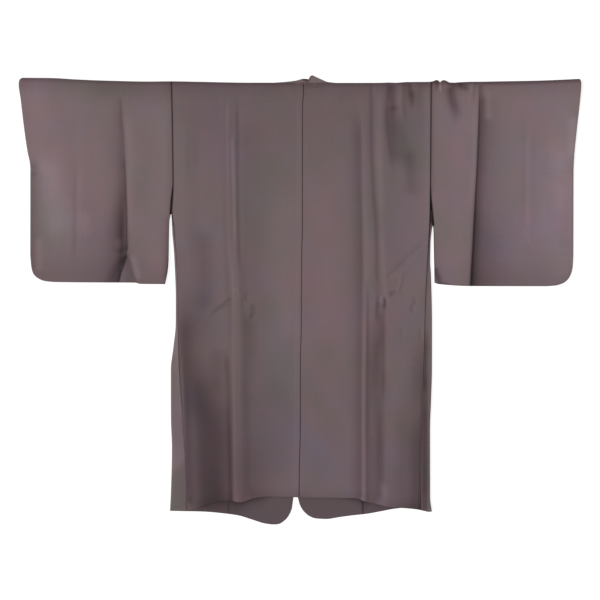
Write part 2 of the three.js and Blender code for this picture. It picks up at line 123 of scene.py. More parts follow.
# %% The two halves
LEFT = SimpleNamespace(
    side=-1,
    neck_x=-81,
    inside_painted_shade=0.66,  # painted shade on the front's inner side beyond the facing, for the shadow of the back above it
    # painted shade: how dark the outer seam's line is made down the drop, darkest at the armhole's end
    seam_painted_shade=smooth_curve([
        (0, 0.8), (230, 0.85), (272, 0.97), (318, 0.9), (345, 0.45), (450, 0.25), (560, 0.3), (632, 0.5),
        (715, 0.45), (770, 0.25), (860, 0.25), (1000, 0.4),
    ]),
    seam_dip=smooth_curve([(0, 1), (320, 1), (380, 0.7), (450, 0.45), (1000, 0.5)]),
    slit_drop=308,  # above this the armhole's end is dark with painted shade, below it the floor shows
    back_edge=smooth_curve([
        (0, -297), (120, -295), (240, -293.6), (304, -296.5), (345, -291), (482, -283), (575, -282),
        (645, -280), (726, -275), (807, -269.5), (868, -265.5), (950, -262), (996, -262),
    ]),
    back_hem=smooth_curve([
        (-300, 995), (-262, 994.6), (-242, 991), (-218, 982), (-194, 976), (-170, 972), (-158, 972),
        (-142, 975), (-130, 974), (-114, 968.5), (-94, 964), (-70, 962), (8, 964.5),
    ]),
    front_edge=smooth_curve([
        (0, -297), (120, -295), (240, -293.9), (280, -296.2), (312, -298.2), (330, -295), (345, -289),
        (996, -275),
    ]),
    opening=smooth_curve([(0, -81), (60, -74), (200, -50), (400, -15.5), (1026, -15.5)]),
    front_hem=smooth_curve([
        (-300, 996), (-262, 996.6), (-222, 997.7), (-182, 1001), (-142, 1006.5), (-114, 1015), (-78, 1025.7),
        (-60, 1027.5), (-50, 1026.5), (-34, 1016.5), (-22, 999), (-17.2, 983), (-15.5, 966),
    ]),
    gusset_fold=smooth_curve([
        (300, -297.4), (345, -296.4), (399, -292), (507, -288), (561, -288.2), (615, -293.5), (669, -299.5),
        (780, -299.3), (850, -297), (950, -299.3), (996, -301.6),
    ]),
    gusset_hem=smooth_curve([(-302, 995.4), (-262, 996.4)]),
    sleeve_edge=smooth_curve([
        (240, -294), (275, -298.5), (313, -301.5), (345, -305), (414, -306.5), (437, -308.6), (470, -314),
    ]),
    sleeve_edge_under=smooth_curve([
        (240, -294), (280, -296.3), (300, -297.8), (306, -299.2), (312, -300.8), (326, -303), (354, -303.9),
        (414, -304.8), (437, -306.6), (470, -313),
    ]),
    sleeve_outer=smooth_curve([
        (-9, -643), (-6, -648), (-1, -651), (6, -651.9), (40, -647.8), (83, -642.8), (136, -636),
        (165, -631.4), (190, -626.2), (201, -625.4), (402, -625.6),
    ]),
    sleeve_bottom=smooth_curve([
        (-625.6, 402), (-623, 431), (-619, 445), (-609, 455.6), (-591.6, 462.8), (-567, 465.2), (-487, 466),
        (-383, 466.5), (-370, 469.5), (-313, 470),
    ]),
    tuck=smooth_curve([
        (0, -416.5), (24, -415), (61, -413), (98, -410.4), (117, -408.6), (154, -407.2), (173, -405.5),
        (228, -402.6), (303, -400.3), (388, -399.6), (397, -400), (403, -401.6), (436, -412.6), (470, -423.8),
    ]),
)
RIGHT = SimpleNamespace(
    side=1,
    neck_x=95,
    # painted shade on the front's inner side beyond the facing, for the shadow of the back above it
    inside_painted_shade=0.7,
    # painted shade: how dark the outer seam's line is made down the drop, darkest at the armhole's end
    seam_painted_shade=smooth_curve([
        (0, 0.8), (230, 0.85), (272, 0.95), (330, 0.9), (400, 0.5), (560, 0.4), (720, 0.1), (930, 0.05),
        (970, 0.4),
    ]),
    seam_dip=smooth_curve([(0, 1), (560, 1), (690, 0.5), (740, 0.1), (930, 0.1), (970, 0.6)]),
    slit_drop=333,
    back_edge=smooth_curve([
        (0, 304), (120, 303.2), (240, 302.3), (304, 301.5), (345, 299.8), (507, 291.2), (599, 288.8),
        (738, 284.2), (854, 280.7), (996, 279.6),
    ]),
    back_hem=smooth_curve([
        (6, 964.5), (102, 965.6), (130, 966.6), (146, 972), (162, 975.5), (178, 980), (202, 985.3),
        (218, 987), (246, 989.5), (270, 992), (284, 994.6), (300, 997.5),
    ]),
    front_edge=smooth_curve([
        (0, 304), (120, 303.2), (240, 302.6), (320, 304.5), (334, 304.9), (352, 296), (996, 258.7),
    ]),
    opening=smooth_curve([(0, 95), (60, 88), (200, 58), (400, -4.6), (1026, -4.6)]),
    front_hem=smooth_curve([
        (-4.6, 966), (-1.5, 979), (8, 996), (24, 1009), (38, 1013.5), (62, 1014.7), (90, 1010.5),
        (122, 1006.3), (154, 1002.8), (194, 995.5), (218, 991), (246, 988.6), (270, 990.5), (300, 996),
    ]),
    gusset_fold=smooth_curve([
        (300, 308), (333, 307.6), (340, 306.4), (346, 305.4), (372, 302.8), (420, 302), (446, 303.6),
        (561, 306.2), (669, 306), (738, 304), (807, 301.6), (960, 301.8), (996, 306),
    ]),
    gusset_hem=smooth_curve([
        (255, 989.6), (268, 991.4), (279, 993.6), (290, 996.2), (300, 998), (306, 997),
    ]),
    sleeve_edge=smooth_curve([
        (240, 302.7), (270, 304.3), (300, 307.2), (335, 310.4), (366, 311), (436, 312.5), (470, 313),
    ]),
    sleeve_edge_under=smooth_curve([
        (240, 302.7), (320, 304.6), (331, 305.4), (339, 309.4), (380, 310.3), (470, 312),
    ]),
    sleeve_outer=smooth_curve([
        (-8, 644), (-5, 648.5), (0, 651.2), (6, 651.9), (42, 649.5), (111, 642), (180, 635.4), (200, 634.5),
        (400, 634),
    ]),
    sleeve_bottom=smooth_curve([
        (313, 467), (322, 469.8), (392, 474.4), (568, 474.8), (591, 473.4), (608, 468.7), (619, 461.5),
        (628, 447.5), (632.6, 429), (634, 400),
    ]),
    tuck=smooth_curve([(0, 415.5), (89, 413), (182, 409.5), (298, 403.7), (391, 399), (475, 394)]),
)
CENTRE_X = 7  # the centre line of the solid model
CENTRE_SEAM = smooth_curve([  # the centre back seam as it lies: (drop, x)
    (0, 8.6), (36, 8.2), (44, 6.4), (60, 6), (350, 5.8), (391, 4.2), (560, 3.5), (640, 1.5), (820, 0.9),
    (880, -0.8), (964, -1.9),
])
SEAM_GAP = 0.3
CURVED_SEAM_GAP = 0.5
ARMHOLE_GAP = 0.4
ARMHOLE_DROP = 240
GUSSET_SHOWS_DROP = 345  # from here down the gusset fills the gap beside the back
CUFF_OPENING_DROP = 200
FACING_WIDTH = 151
FACING_INSET = 3
CLOTH_THICK = 0.7
for half in (LEFT, RIGHT):
    print("half back:", abs(float(half.back_edge(0)) - CENTRE_X), "mm wide at the shoulder")

# %% [markdown]
# ## Creases
# Cloth that has been folded away keeps its creases, and cloth that is laid out gathers new ones. Each crease
# here is one row: a path of (x, drop) points from its upper end to its lower one, how high it stands (below
# zero it is a trough), and how far it reaches to the viewer's left and right. The ends fade out over a
# length of their own, so no two creases are alike. A cloth simulation would settle somewhere of its own, so
# the creases are listed instead.

# %% How a crease reaches the cloth round it
Crease = namedtuple("Crease", "path rise left right fade_in fade_out power", defaults=(40, 40, 2))


def reach_of(crease, x, drop):
    """The crease's share, from 0 to 1, at each point of the cloth."""
    points = np.array(crease.path, dtype=float)
    nearest = np.full(x.shape, np.inf)
    across = np.zeros(x.shape)
    along = np.zeros(x.shape)
    travelled = 0.0
    for start, end in zip(points[:-1], points[1:]):
        length = np.hypot(*(end - start))
        step_x, step_drop = (end - start) / length
        from_x, from_drop = x - start[0], drop - start[1]
        t = np.clip(from_x * step_x + from_drop * step_drop, 0, length)
        away = np.hypot(from_x - t * step_x, from_drop - t * step_drop)
        closer = away < nearest
        side = np.sign(from_x * step_drop - from_drop * step_x)
        nearest = np.where(closer, away, nearest)
        across = np.where(closer, away * side, across)
        along = np.where(closer, travelled + t, along)
        travelled += length
    run = np.where(across < 0, crease.left, crease.right)
    share = np.exp(-(np.abs(across) / run) ** crease.power)
    if crease.fade_in:
        share = share * eased(along / crease.fade_in)
    if crease.fade_out:
        share = share * eased((travelled - along) / crease.fade_out)
    return share


def total(creases, x, drop):
    """The sum of all the creases' rises at each point."""
    x, drop = np.broadcast_arrays(x, drop)
    return sum((crease.rise * reach_of(crease, x, drop) for crease in creases), np.zeros(x.shape))


# %% [markdown]
# The body's creases. The two long ones on each half are from storage: the halves were folded lengthwise
# there. Below the right shoulder the cloth is gathered a little, and at hip height it is crushed.

# %% The body's creases
BODY_CREASES = [
    # the long flat-topped fold of the left half, and the hollow on each side of it
    Crease([(-157, 20), (-156, 300), (-150, 470)], 3.0, 12, 11.5, 70, 90, 4),
    Crease([(-166, 40), (-165, 290)], 0.8, 2.4, 4, 40, 90),
    Crease([(-153, 380), (-147, 520), (-145, 760), (-143, 1000)], 3.0, 9, 19, 90, 0, 3),
    Crease([(-134, 60), (-132, 480), (-128, 620), (-126, 1000)], -1.2, 9, 26, 80, 0),
    Crease([(-172, 560), (-169, 785), (-167, 1000)], -1.3, 38, 10, 160, 0),
    Crease([(-238, 80), (-237, 300), (-236, 500)], -0.9, 16, 16, 120, 120),
    Crease([(-190, 20), (-188, 120)], -0.6, 9, 9, 20, 60),
    Crease([(-258, 96), (-256, 260)], -0.6, 5, 12, 40, 80),
    # the crushed place at the left hip
    Crease([(-140, 488), (-160, 508), (-190, 532), (-216, 556)], -2.4, 3.4, 3.0, 12, 36, 1.6),
    Crease([(-147, 482), (-168, 501), (-198, 523), (-225, 546)], 1.4, 5, 5, 20, 40),
    Crease([(-137, 478), (-146, 492)], 1.3, 5, 4, 8, 8),
    Crease([(-125, 490), (-124, 516)], -1.4, 3.5, 4, 8, 10),
    Crease([(-112, 508), (-110, 556)], -1.2, 4, 4, 14, 24),
    Crease([(-132, 496), (-131, 540)], -1.0, 4, 4, 10, 26),
    Crease([(-262, 590), (-246, 594), (-226, 592)], -0.8, 3, 3, 10, 16),
    # the long folds of the right half: a hollow, a step up, a band, a trough, and a second step up
    Crease([(139, 40), (141, 275), (144, 420), (142, 739), (141, 1000)], -1.3, 15, 4.5, 80, 0),
    Crease([(153, 20), (153, 159), (156, 251), (163, 330), (165, 440), (162, 515)], 2.0, 12, 14, 110, 70, 3),
    Crease([(150, 440), (151, 520), (150, 739), (151, 1000)], 2.6, 5.5, 6.5, 90, 0, 3),
    Crease([(168, 4), (169, 159), (174, 251), (179, 330), (182, 391), (181, 480)], -1.0, 5.5, 5.5, 90, 40),
    Crease([(170, 540), (174, 660), (176, 1000)], -1.7, 14, 14, 70, 0, 3),
    Crease([(187, 4), (187, 90), (189, 240)], 1.8, 8, 15, 60, 90),
    Crease([(189, 120), (192, 275), (197, 391), (203, 500), (203, 1000)], 2.1, 7, 60, 90, 0),
    Crease([(216, 270), (222, 470)], -0.6, 14, 26, 60, 140),
    # the gathers below the right shoulder
    Crease([(212, 3), (209, 89), (215, 159), (228, 250)], -3.2, 8, 15, 10, 120),
    Crease([(235, 3), (236, 60), (243, 110)], 2.6, 8, 7, 6, 60),
    Crease([(259, 3), (261, 60)], -3.0, 8, 4.5, 6, 40),
    Crease([(272, 4), (270, 90)], 1.2, 5, 8, 8, 60),
    Crease([(168, 3), (169, 80)], -1.5, 5, 5, 6, 50),
    # the crushed place at the right hip
    Crease([(184, 496), (182, 518), (180, 548)], -2.8, 4, 5, 7, 22),
    Crease([(189, 494), (192, 506), (194, 524)], 1.5, 3, 3, 7, 12),
    Crease([(196, 498), (200, 511), (198, 530)], -2.0, 3.4, 4, 7, 14),
    Crease([(208, 497), (217, 492), (226, 486)], -2.0, 3.4, 4.4, 6, 6),
    Crease([(238, 440), (232, 468), (225, 492)], 1.3, 3.4, 4, 16, 6),
    Crease([(228, 446), (214, 452), (196, 462)], -1.0, 3.6, 3.6, 10, 14),
    Crease([(226, 498), (240, 502)], 1.2, 3, 3, 4, 6),
    Crease([(260, 496), (267, 509), (259, 524), (261, 540)], -1.1, 4, 6, 8, 12),
    Crease([(279, 566), (282, 600)], -1.1, 3, 3.4, 10, 10),
    Crease([(240, 560), (237, 606)], -0.7, 5, 4, 20, 20),
    Crease(
        [(293, 366), (285, 375), (267, 391), (248, 408), (229, 430), (211, 449), (196, 462)],
        -1.3, 4.4, 2.6, 14, 16,
    ),
    Crease([(297, 379), (273, 400), (256, 417), (239, 438), (220, 458)], 0.4, 5, 12, 20, 20),
    # beside the right gusset
    Crease([(272, 560), (266, 740), (264, 1000)], -1.2, 20, 10, 160, 0),
]
print("body creases:", len(BODY_CREASES))

# %% [markdown]
# The sleeves' creases. Each sleeve was tucked lengthwise for storage. The tuck's edge is too steep for a soft
# crease and comes with the sleeve itself. At the right armhole the cloth is pinched into small gathers.

# %% The sleeves' creases
SLEEVE_CREASES = [
    # left: two faint storage creases, and the soft swelling outside the tuck
    Crease([(-517, 170), (-519, 437)], -0.9, 7, 6, 90, 60),
    Crease([(-526, 180), (-528, 437)], 0.5, 9, 7, 90, 60),
    Crease([(-448, 60), (-446, 300), (-452, 455)], 1.3, 22, 22, 90, 0),
    Crease([(-560, 40), (-552, 200), (-556, 400)], 0.7, 30, 26, 100, 120),
    Crease([(-365, 60), (-362, 440)], 0.4, 24, 20, 60, 60),
    Crease([(-613, 195), (-600, 205), (-580, 206)], -0.5, 5, 5, 4, 20),
    # right: the storage crease and the small marks below it
    Crease([(524, 77), (522, 367)], -0.8, 5, 6, 60, 60),
    Crease([(534, 90), (532, 367)], 0.5, 6, 10, 60, 60),
    Crease([(438, 60), (430, 300), (424, 470)], 1.2, 18, 24, 60, 0),
    Crease([(519, 338), (528, 356), (545, 384)], 0.6, 3.4, 3.4, 10, 14),
    Crease([(515, 346), (524, 364), (539, 390)], -0.5, 3.4, 3.4, 10, 14),
    Crease([(560, 262), (584, 250)], -0.4, 5, 5, 10, 10),
    Crease([(590, 60), (582, 240), (590, 420)], 0.7, 26, 30, 90, 90),
    # right: the gathers at the armhole
    Crease([(352, 4), (366, 9), (381, 15)], -2.2, 6, 5, 4, 5, 3),
    Crease([(350, 12), (354, 40), (364, 70), (366, 110)], -2.2, 9, 9, 8, 60),
    Crease([(386, 4), (400, 4)], 1.2, 9, 6, 3, 3),
    Crease([(402, 2), (398, 16), (396, 60)], 1.5, 5, 5, 3, 40),
    Crease([(327, 1), (327, 12), (331, 26)], 2.2, 3.6, 3.6, 2, 14),
    Crease([(320, 0), (315, 10)], -2.4, 3, 3, 2, 4),
    Crease([(313, 2), (311, 16)], 1.6, 3.2, 3.2, 3, 8),
    Crease([(338, 0), (348, 9), (360, 19)], 1.2, 2.6, 2.6, 3, 6),
    Crease([(342, 96), (338, 170)], 0.5, 9, 9, 40, 50),
    Crease([(372, 80), (368, 440)], 0.4, 20, 22, 60, 60),
]
print("sleeve creases:", len(SLEEVE_CREASES))

# %% [markdown]
# Between the creases silk is never quite level. A few long, low waves with seeded phases keep it alive. They
# run mostly downwards, because the coat has hung.

# %% Low waves between the creases
WAVE_COUNT = 14
WAVE_HEIGHT = 0.11
chance = np.random.default_rng(11)


def random_wave():
    """One wave's length in millimetres, its lean from upright and where it starts."""
    length = chance.uniform(60, 240)
    lean = chance.uniform(0.15, 0.6) * chance.choice((-1, 1))
    return length, lean, chance.uniform(0, 2 * math.pi)


WAVES = [random_wave() for _ in range(WAVE_COUNT)]
print("waves:", WAVE_COUNT, "with lengths from", round(min(wave[0] for wave in WAVES)), "mm")


def low_waves(x, drop):
    """A gentle unevenness of the cloth, in millimetres."""
    height = np.zeros(np.shape(x))
    for length, lean, phase in WAVES:
        height = height + np.sin(2 * math.pi * (x + lean * drop) / length + phase)
    return WAVE_HEIGHT * height


# %% [markdown]
# ## Heights
# The back lies over the fronts, their facings and some air, and the sleeves are only two layers. At the
# shoulder the cloth turns over in a roll. Only at the neck it doesn't: there the collar carries it.

# %% The upper layer's height above the floor
BODY_REST = 4.6
SLEEVE_REST = 3.4
ROLL_HEIGHT = 6.2
ROLL_RUN = 70
SLEEVE_RUN = 60
NECK_RUN = 45
BODY_LEAST = 3.0
SLEEVE_LEAST = 2.1
TUCK_FOOT = 1.4  # how far out from its edge a tuck's steep side ends
TUCK_RISE = 3.3
TUCK_DIP = 1.2
TUCK_INNER_RUN = 42
TUCK_OUTER_RUN = 17
TUCK_TOP_DROP = 8
TUCK_GROWTH = 90  # the length over which the tuck rises from nothing
TUCK_FULL_DROP = 420
HEM_LIFT = 1.6  # how far the back's hem stands clear of the fronts
HEM_LIFT_DROP = 860
HEM_LIFT_RUN = 110
HEM_LIFT_REACH = 170  # to each side of the centre
HEM_LIFT_FADE = 90
PLEAT_STEP = 1.9
PLEAT_TOP = (-398.6, 404)
PLEAT_SLANT = 0.33
CORNER_CURL = 1.3  # how far the right sleeve's lower inner corner sinks
CORNER_PLACE = (312, 452)
CORNER_SLANT = 0.72


def rest_height(x, drop):
    """The height without creases."""
    out = np.maximum(LEFT.back_edge(0) - x, x - RIGHT.back_edge(0))
    rest = BODY_REST + (SLEEVE_REST - BODY_REST) * eased(out / SLEEVE_RUN)
    inside_neck = np.minimum(x - LEFT.neck_x, RIGHT.neck_x - x)
    roll = (ROLL_HEIGHT - rest) * (1 - eased(drop / ROLL_RUN)) * (1 - eased(inside_neck / NECK_RUN))
    return rest + roll


def body_height(x, drop):
    """The back's outer side. Towards the hem it stands a little clear of the fronts."""
    beside = (np.abs(x - CENTRE_X) - HEM_LIFT_REACH) / HEM_LIFT_FADE
    clear = HEM_LIFT * eased((drop - HEM_LIFT_DROP) / HEM_LIFT_RUN) * (1 - eased(beside))
    height = rest_height(x, drop) + total(BODY_CREASES, x, drop) + low_waves(x, drop) + clear
    return np.maximum(height, BODY_LEAST)


def tuck_height(half, x, drop):
    """A sleeve's tuck: a high edge, a steep drop on its outer side and a hollow beyond it."""
    out = (x - half.tuck(drop)) * half.side
    grown = eased((drop - TUCK_TOP_DROP) / TUCK_GROWTH)
    deeper = 0.35 + 0.65 * eased(drop / TUCK_FULL_DROP)
    inner = TUCK_RISE * np.exp(-(out / TUCK_INNER_RUN) ** 2)
    hollow = -TUCK_DIP * deeper * np.exp(-np.abs((out - TUCK_FOOT) / TUCK_OUTER_RUN) ** 1.4)
    step = eased(out / TUCK_FOOT)
    return grown * np.where(out < 0, inner, TUCK_RISE * (1 - step) + hollow * step)


def sleeve_height(half, x, drop):
    """A sleeve's outer side. At its foot the left tuck falls open in a small pleat."""
    height = rest_height(x, drop) + total(SLEEVE_CREASES, x, drop) + low_waves(x, drop)
    height = height + tuck_height(half, x, drop)
    if half is LEFT:
        pleat_x = PLEAT_TOP[0] + PLEAT_SLANT * (drop - PLEAT_TOP[1])
        begun = eased((drop - PLEAT_TOP[1] + 8) / 16)
        lower = eased((pleat_x - x) / 2.4 + 0.5) * (x > half.tuck(drop)) * begun
        height = height - PLEAT_STEP * lower
    else:
        corner = (drop - CORNER_PLACE[1]) + (x - CORNER_PLACE[0]) * -CORNER_SLANT
        height = height - CORNER_CURL * eased((corner + 2) / 7) * (x < 350)
    return np.maximum(height, SLEEVE_LEAST)


print("the back's middle lies", round(float(body_height(CENTRE_X, 500.0)), 1), "mm above the floor")

# %% [markdown]
# ## Grids
# Cloth is woven on a grid, so a grid of points suits it: columns run down like the warp and follow the guide
# lines, rows run across like the weft. They stand close together where the cloth turns into a seam or over
# an edge, and further apart elsewhere, which spends the faces where they show.

# %% Columns and rows of a leaf
SEAM_STEPS = (0, 0.35, 0.8, 1.4, 2.2)  # mm from a seam
EDGE_STEPS = (0, 0.25, 0.7, 1.4, 2.4, 3.8)  # mm from a folded edge
FOLD_REACH = 8  # how far below the top line the roll over the shoulder begins
FOLD_STEPS = 10


def graded(width, step, first=(0,), last=(0,)):
    """Shares of a width: the given steps at each end, and even ones between them."""
    start, end = first[-1], width - last[-1]
    count = max(1, round((end - start) / step))
    middle = np.linspace(start, end, count + 1)[1:-1]
    return np.concatenate((first, middle, width - np.array(last[::-1]))) / width


def columns_between(guides, shares):
    """A function from an array of drops, rows by columns, to the columns' x there."""
    spots = [(k, share) for k, span in enumerate(shares) for share in span]

    def across(drop):
        return np.column_stack([
            guides[k](drop[:, i]) * (1 - share) + guides[k + 1](drop[:, i]) * share
            for i, (k, share) in enumerate(spots)
        ])

    return across, len(spots)


def leaf_places(across, count, bottom, shares):
    """x and drop of a leaf's points, from the roll at its top down to its hem."""
    drop = np.repeat(shares[:, None] * bottom(0.0), count, axis=1)
    for _ in range(5):
        x = across(drop)
        start = top_line(x[0]) + FOLD_REACH
        drop = start + (bottom(x[-1]) - start) * shares[:, None]
    return across(drop), drop


def roll_over(across, drop, height):
    """The rows between an upper leaf's top row and the lower leaf's, half way round an ellipse."""
    turns = np.pi * np.arange(1, FOLD_STEPS)[:, None] / FOLD_STEPS
    over_drop = drop[None, :] - FOLD_REACH * np.sin(turns)
    return across(over_drop), over_drop, height[None, :] / 2 * (1 + np.cos(turns))


# %% [markdown]
# A seam's turning is the strip of cloth beyond the stitches. It goes under the neighbouring piece, so nothing
# shines through the seam. Along a seam the cloth also sinks a little, and the line itself is dark.

# %% Turnings, seam lines and rounded edges
TURNING = 2.2  # how far a seam's turning goes under its neighbour
TURNING_STEP = 1.2
TURNING_LEAST = 1.75
# painted shade: the share of its colour that a turning keeps, for the shadow under its neighbour
TURNING_SHADE = 0.18
HOLE_SHADE = 0.14  # how much darker it is still at the armhole's end, where nothing lights it


def with_turning(grid, kept, first, widths):
    """Adds a column that goes under the neighbouring piece, where its width isn't 0."""
    edge = 0 if first else -1
    x, drop, height, shade, tone = (part[:, edge] for part in grid)
    rows = widths != 0
    below = np.maximum(height - TURNING_STEP, TURNING_LEAST)
    hole = eased((drop - ARMHOLE_DROP) / 40) * eased((GUSSET_SHOWS_DROP - drop) / 12)
    # painted shade: the turning is darkened for the shadow under its neighbour, and more at the armhole's end
    dark = shade * (TURNING_SHADE - HOLE_SHADE * hole)
    extra = (x + widths, drop, np.where(rows, below, height), dark, tone)
    flags = rows[:-1] & rows[1:]
    join = (lambda new, part: (new, part)) if first else (lambda new, part: (part, new))
    grid = [np.hstack(join(new[:, None], part)) for new, part in zip(extra, grid)]
    return grid, np.hstack(join(flags[:, None], kept))


def seam_shade(distance, depth, run=1.3):
    """Painted shade: the dark line along a seam, where the cloth turns down into it."""
    return 1 - depth * np.exp(-(distance / run) ** 2)


def dipped(height, distance, depth, run):
    """The height with its edge rounded down into a seam or over a folded edge."""
    t = np.clip(distance / run, 0, 1)
    return height - depth * (1 - np.sqrt(1 - (1 - t) ** 2))


# %% [markdown]
# A grid becomes a mesh of four-cornered faces. Its shade and tone are kept on its points: how light the cloth
# is painted there, for light and shade, and whether it leans to rose or to grey green. The wall then gets its
# thickness from a Solidify modifier, which closes the rim all round.

# %% From a grid to a sheet of cloth
def sheet_of_cloth(name, grid, kept=None, extra_faces=(), flip=False, thick=CLOTH_THICK):
    """A closed thin shell from arrays of x, drop, height, shade and tone, rows from the hem upwards."""
    x, drop, height, shade, tone = (np.flip(part, axis=1) if flip else part for part in grid)
    rows, columns = x.shape
    index = np.arange(rows * columns).reshape(rows, columns)
    corners = (index[:-1, :-1], index[:-1, 1:], index[1:, 1:], index[1:, :-1])
    faces = np.stack(corners, axis=-1).reshape(-1, 4)
    if kept is not None:
        faces = faces[(np.flip(kept, axis=1) if flip else kept).reshape(-1)]
    faces = np.vstack((faces, *extra_faces)) if len(extra_faces) else faces
    used = np.unique(faces)
    places = np.column_stack((x.reshape(-1), SHOULDER_Y - drop.reshape(-1), height.reshape(-1)))[used] * MM
    mesh = bpy.data.meshes.new(name)
    mesh.from_pydata(places.tolist(), [], np.searchsorted(used, faces).tolist())
    # the shade attribute is painted light and shade; tone and bloom are the silk's own colour
    for title, values in (("shade", shade), ("tone", tone), ("bloom", bloom_of(x, drop))):
        layer = mesh.attributes.new(title, "FLOAT", "POINT")
        layer.data.foreach_set("value", values.reshape(-1)[used].astype(np.float32))
    mesh.validate()
    piece = bpy.data.objects.new(name, mesh)
    bpy.context.collection.objects.link(piece)
    finish_cloth(piece, thick)
    return piece


def finish_cloth(piece, thick):
    """Gives the cloth its thickness, inwards from its outer side, and smooth shading."""
    bpy.ops.object.select_all(action="DESELECT")
    piece.select_set(True)
    bpy.context.view_layer.objects.active = piece
    wall = piece.modifiers.new("wall", "SOLIDIFY")
    wall.thickness = thick * MM
    wall.offset = -1
    bpy.ops.object.modifier_apply(modifier=wall.name)
    bpy.ops.object.shade_smooth_by_angle(angle=math.radians(60))
    piece.select_set(False)
    print(piece.name, len(piece.data.polygons), "faces")
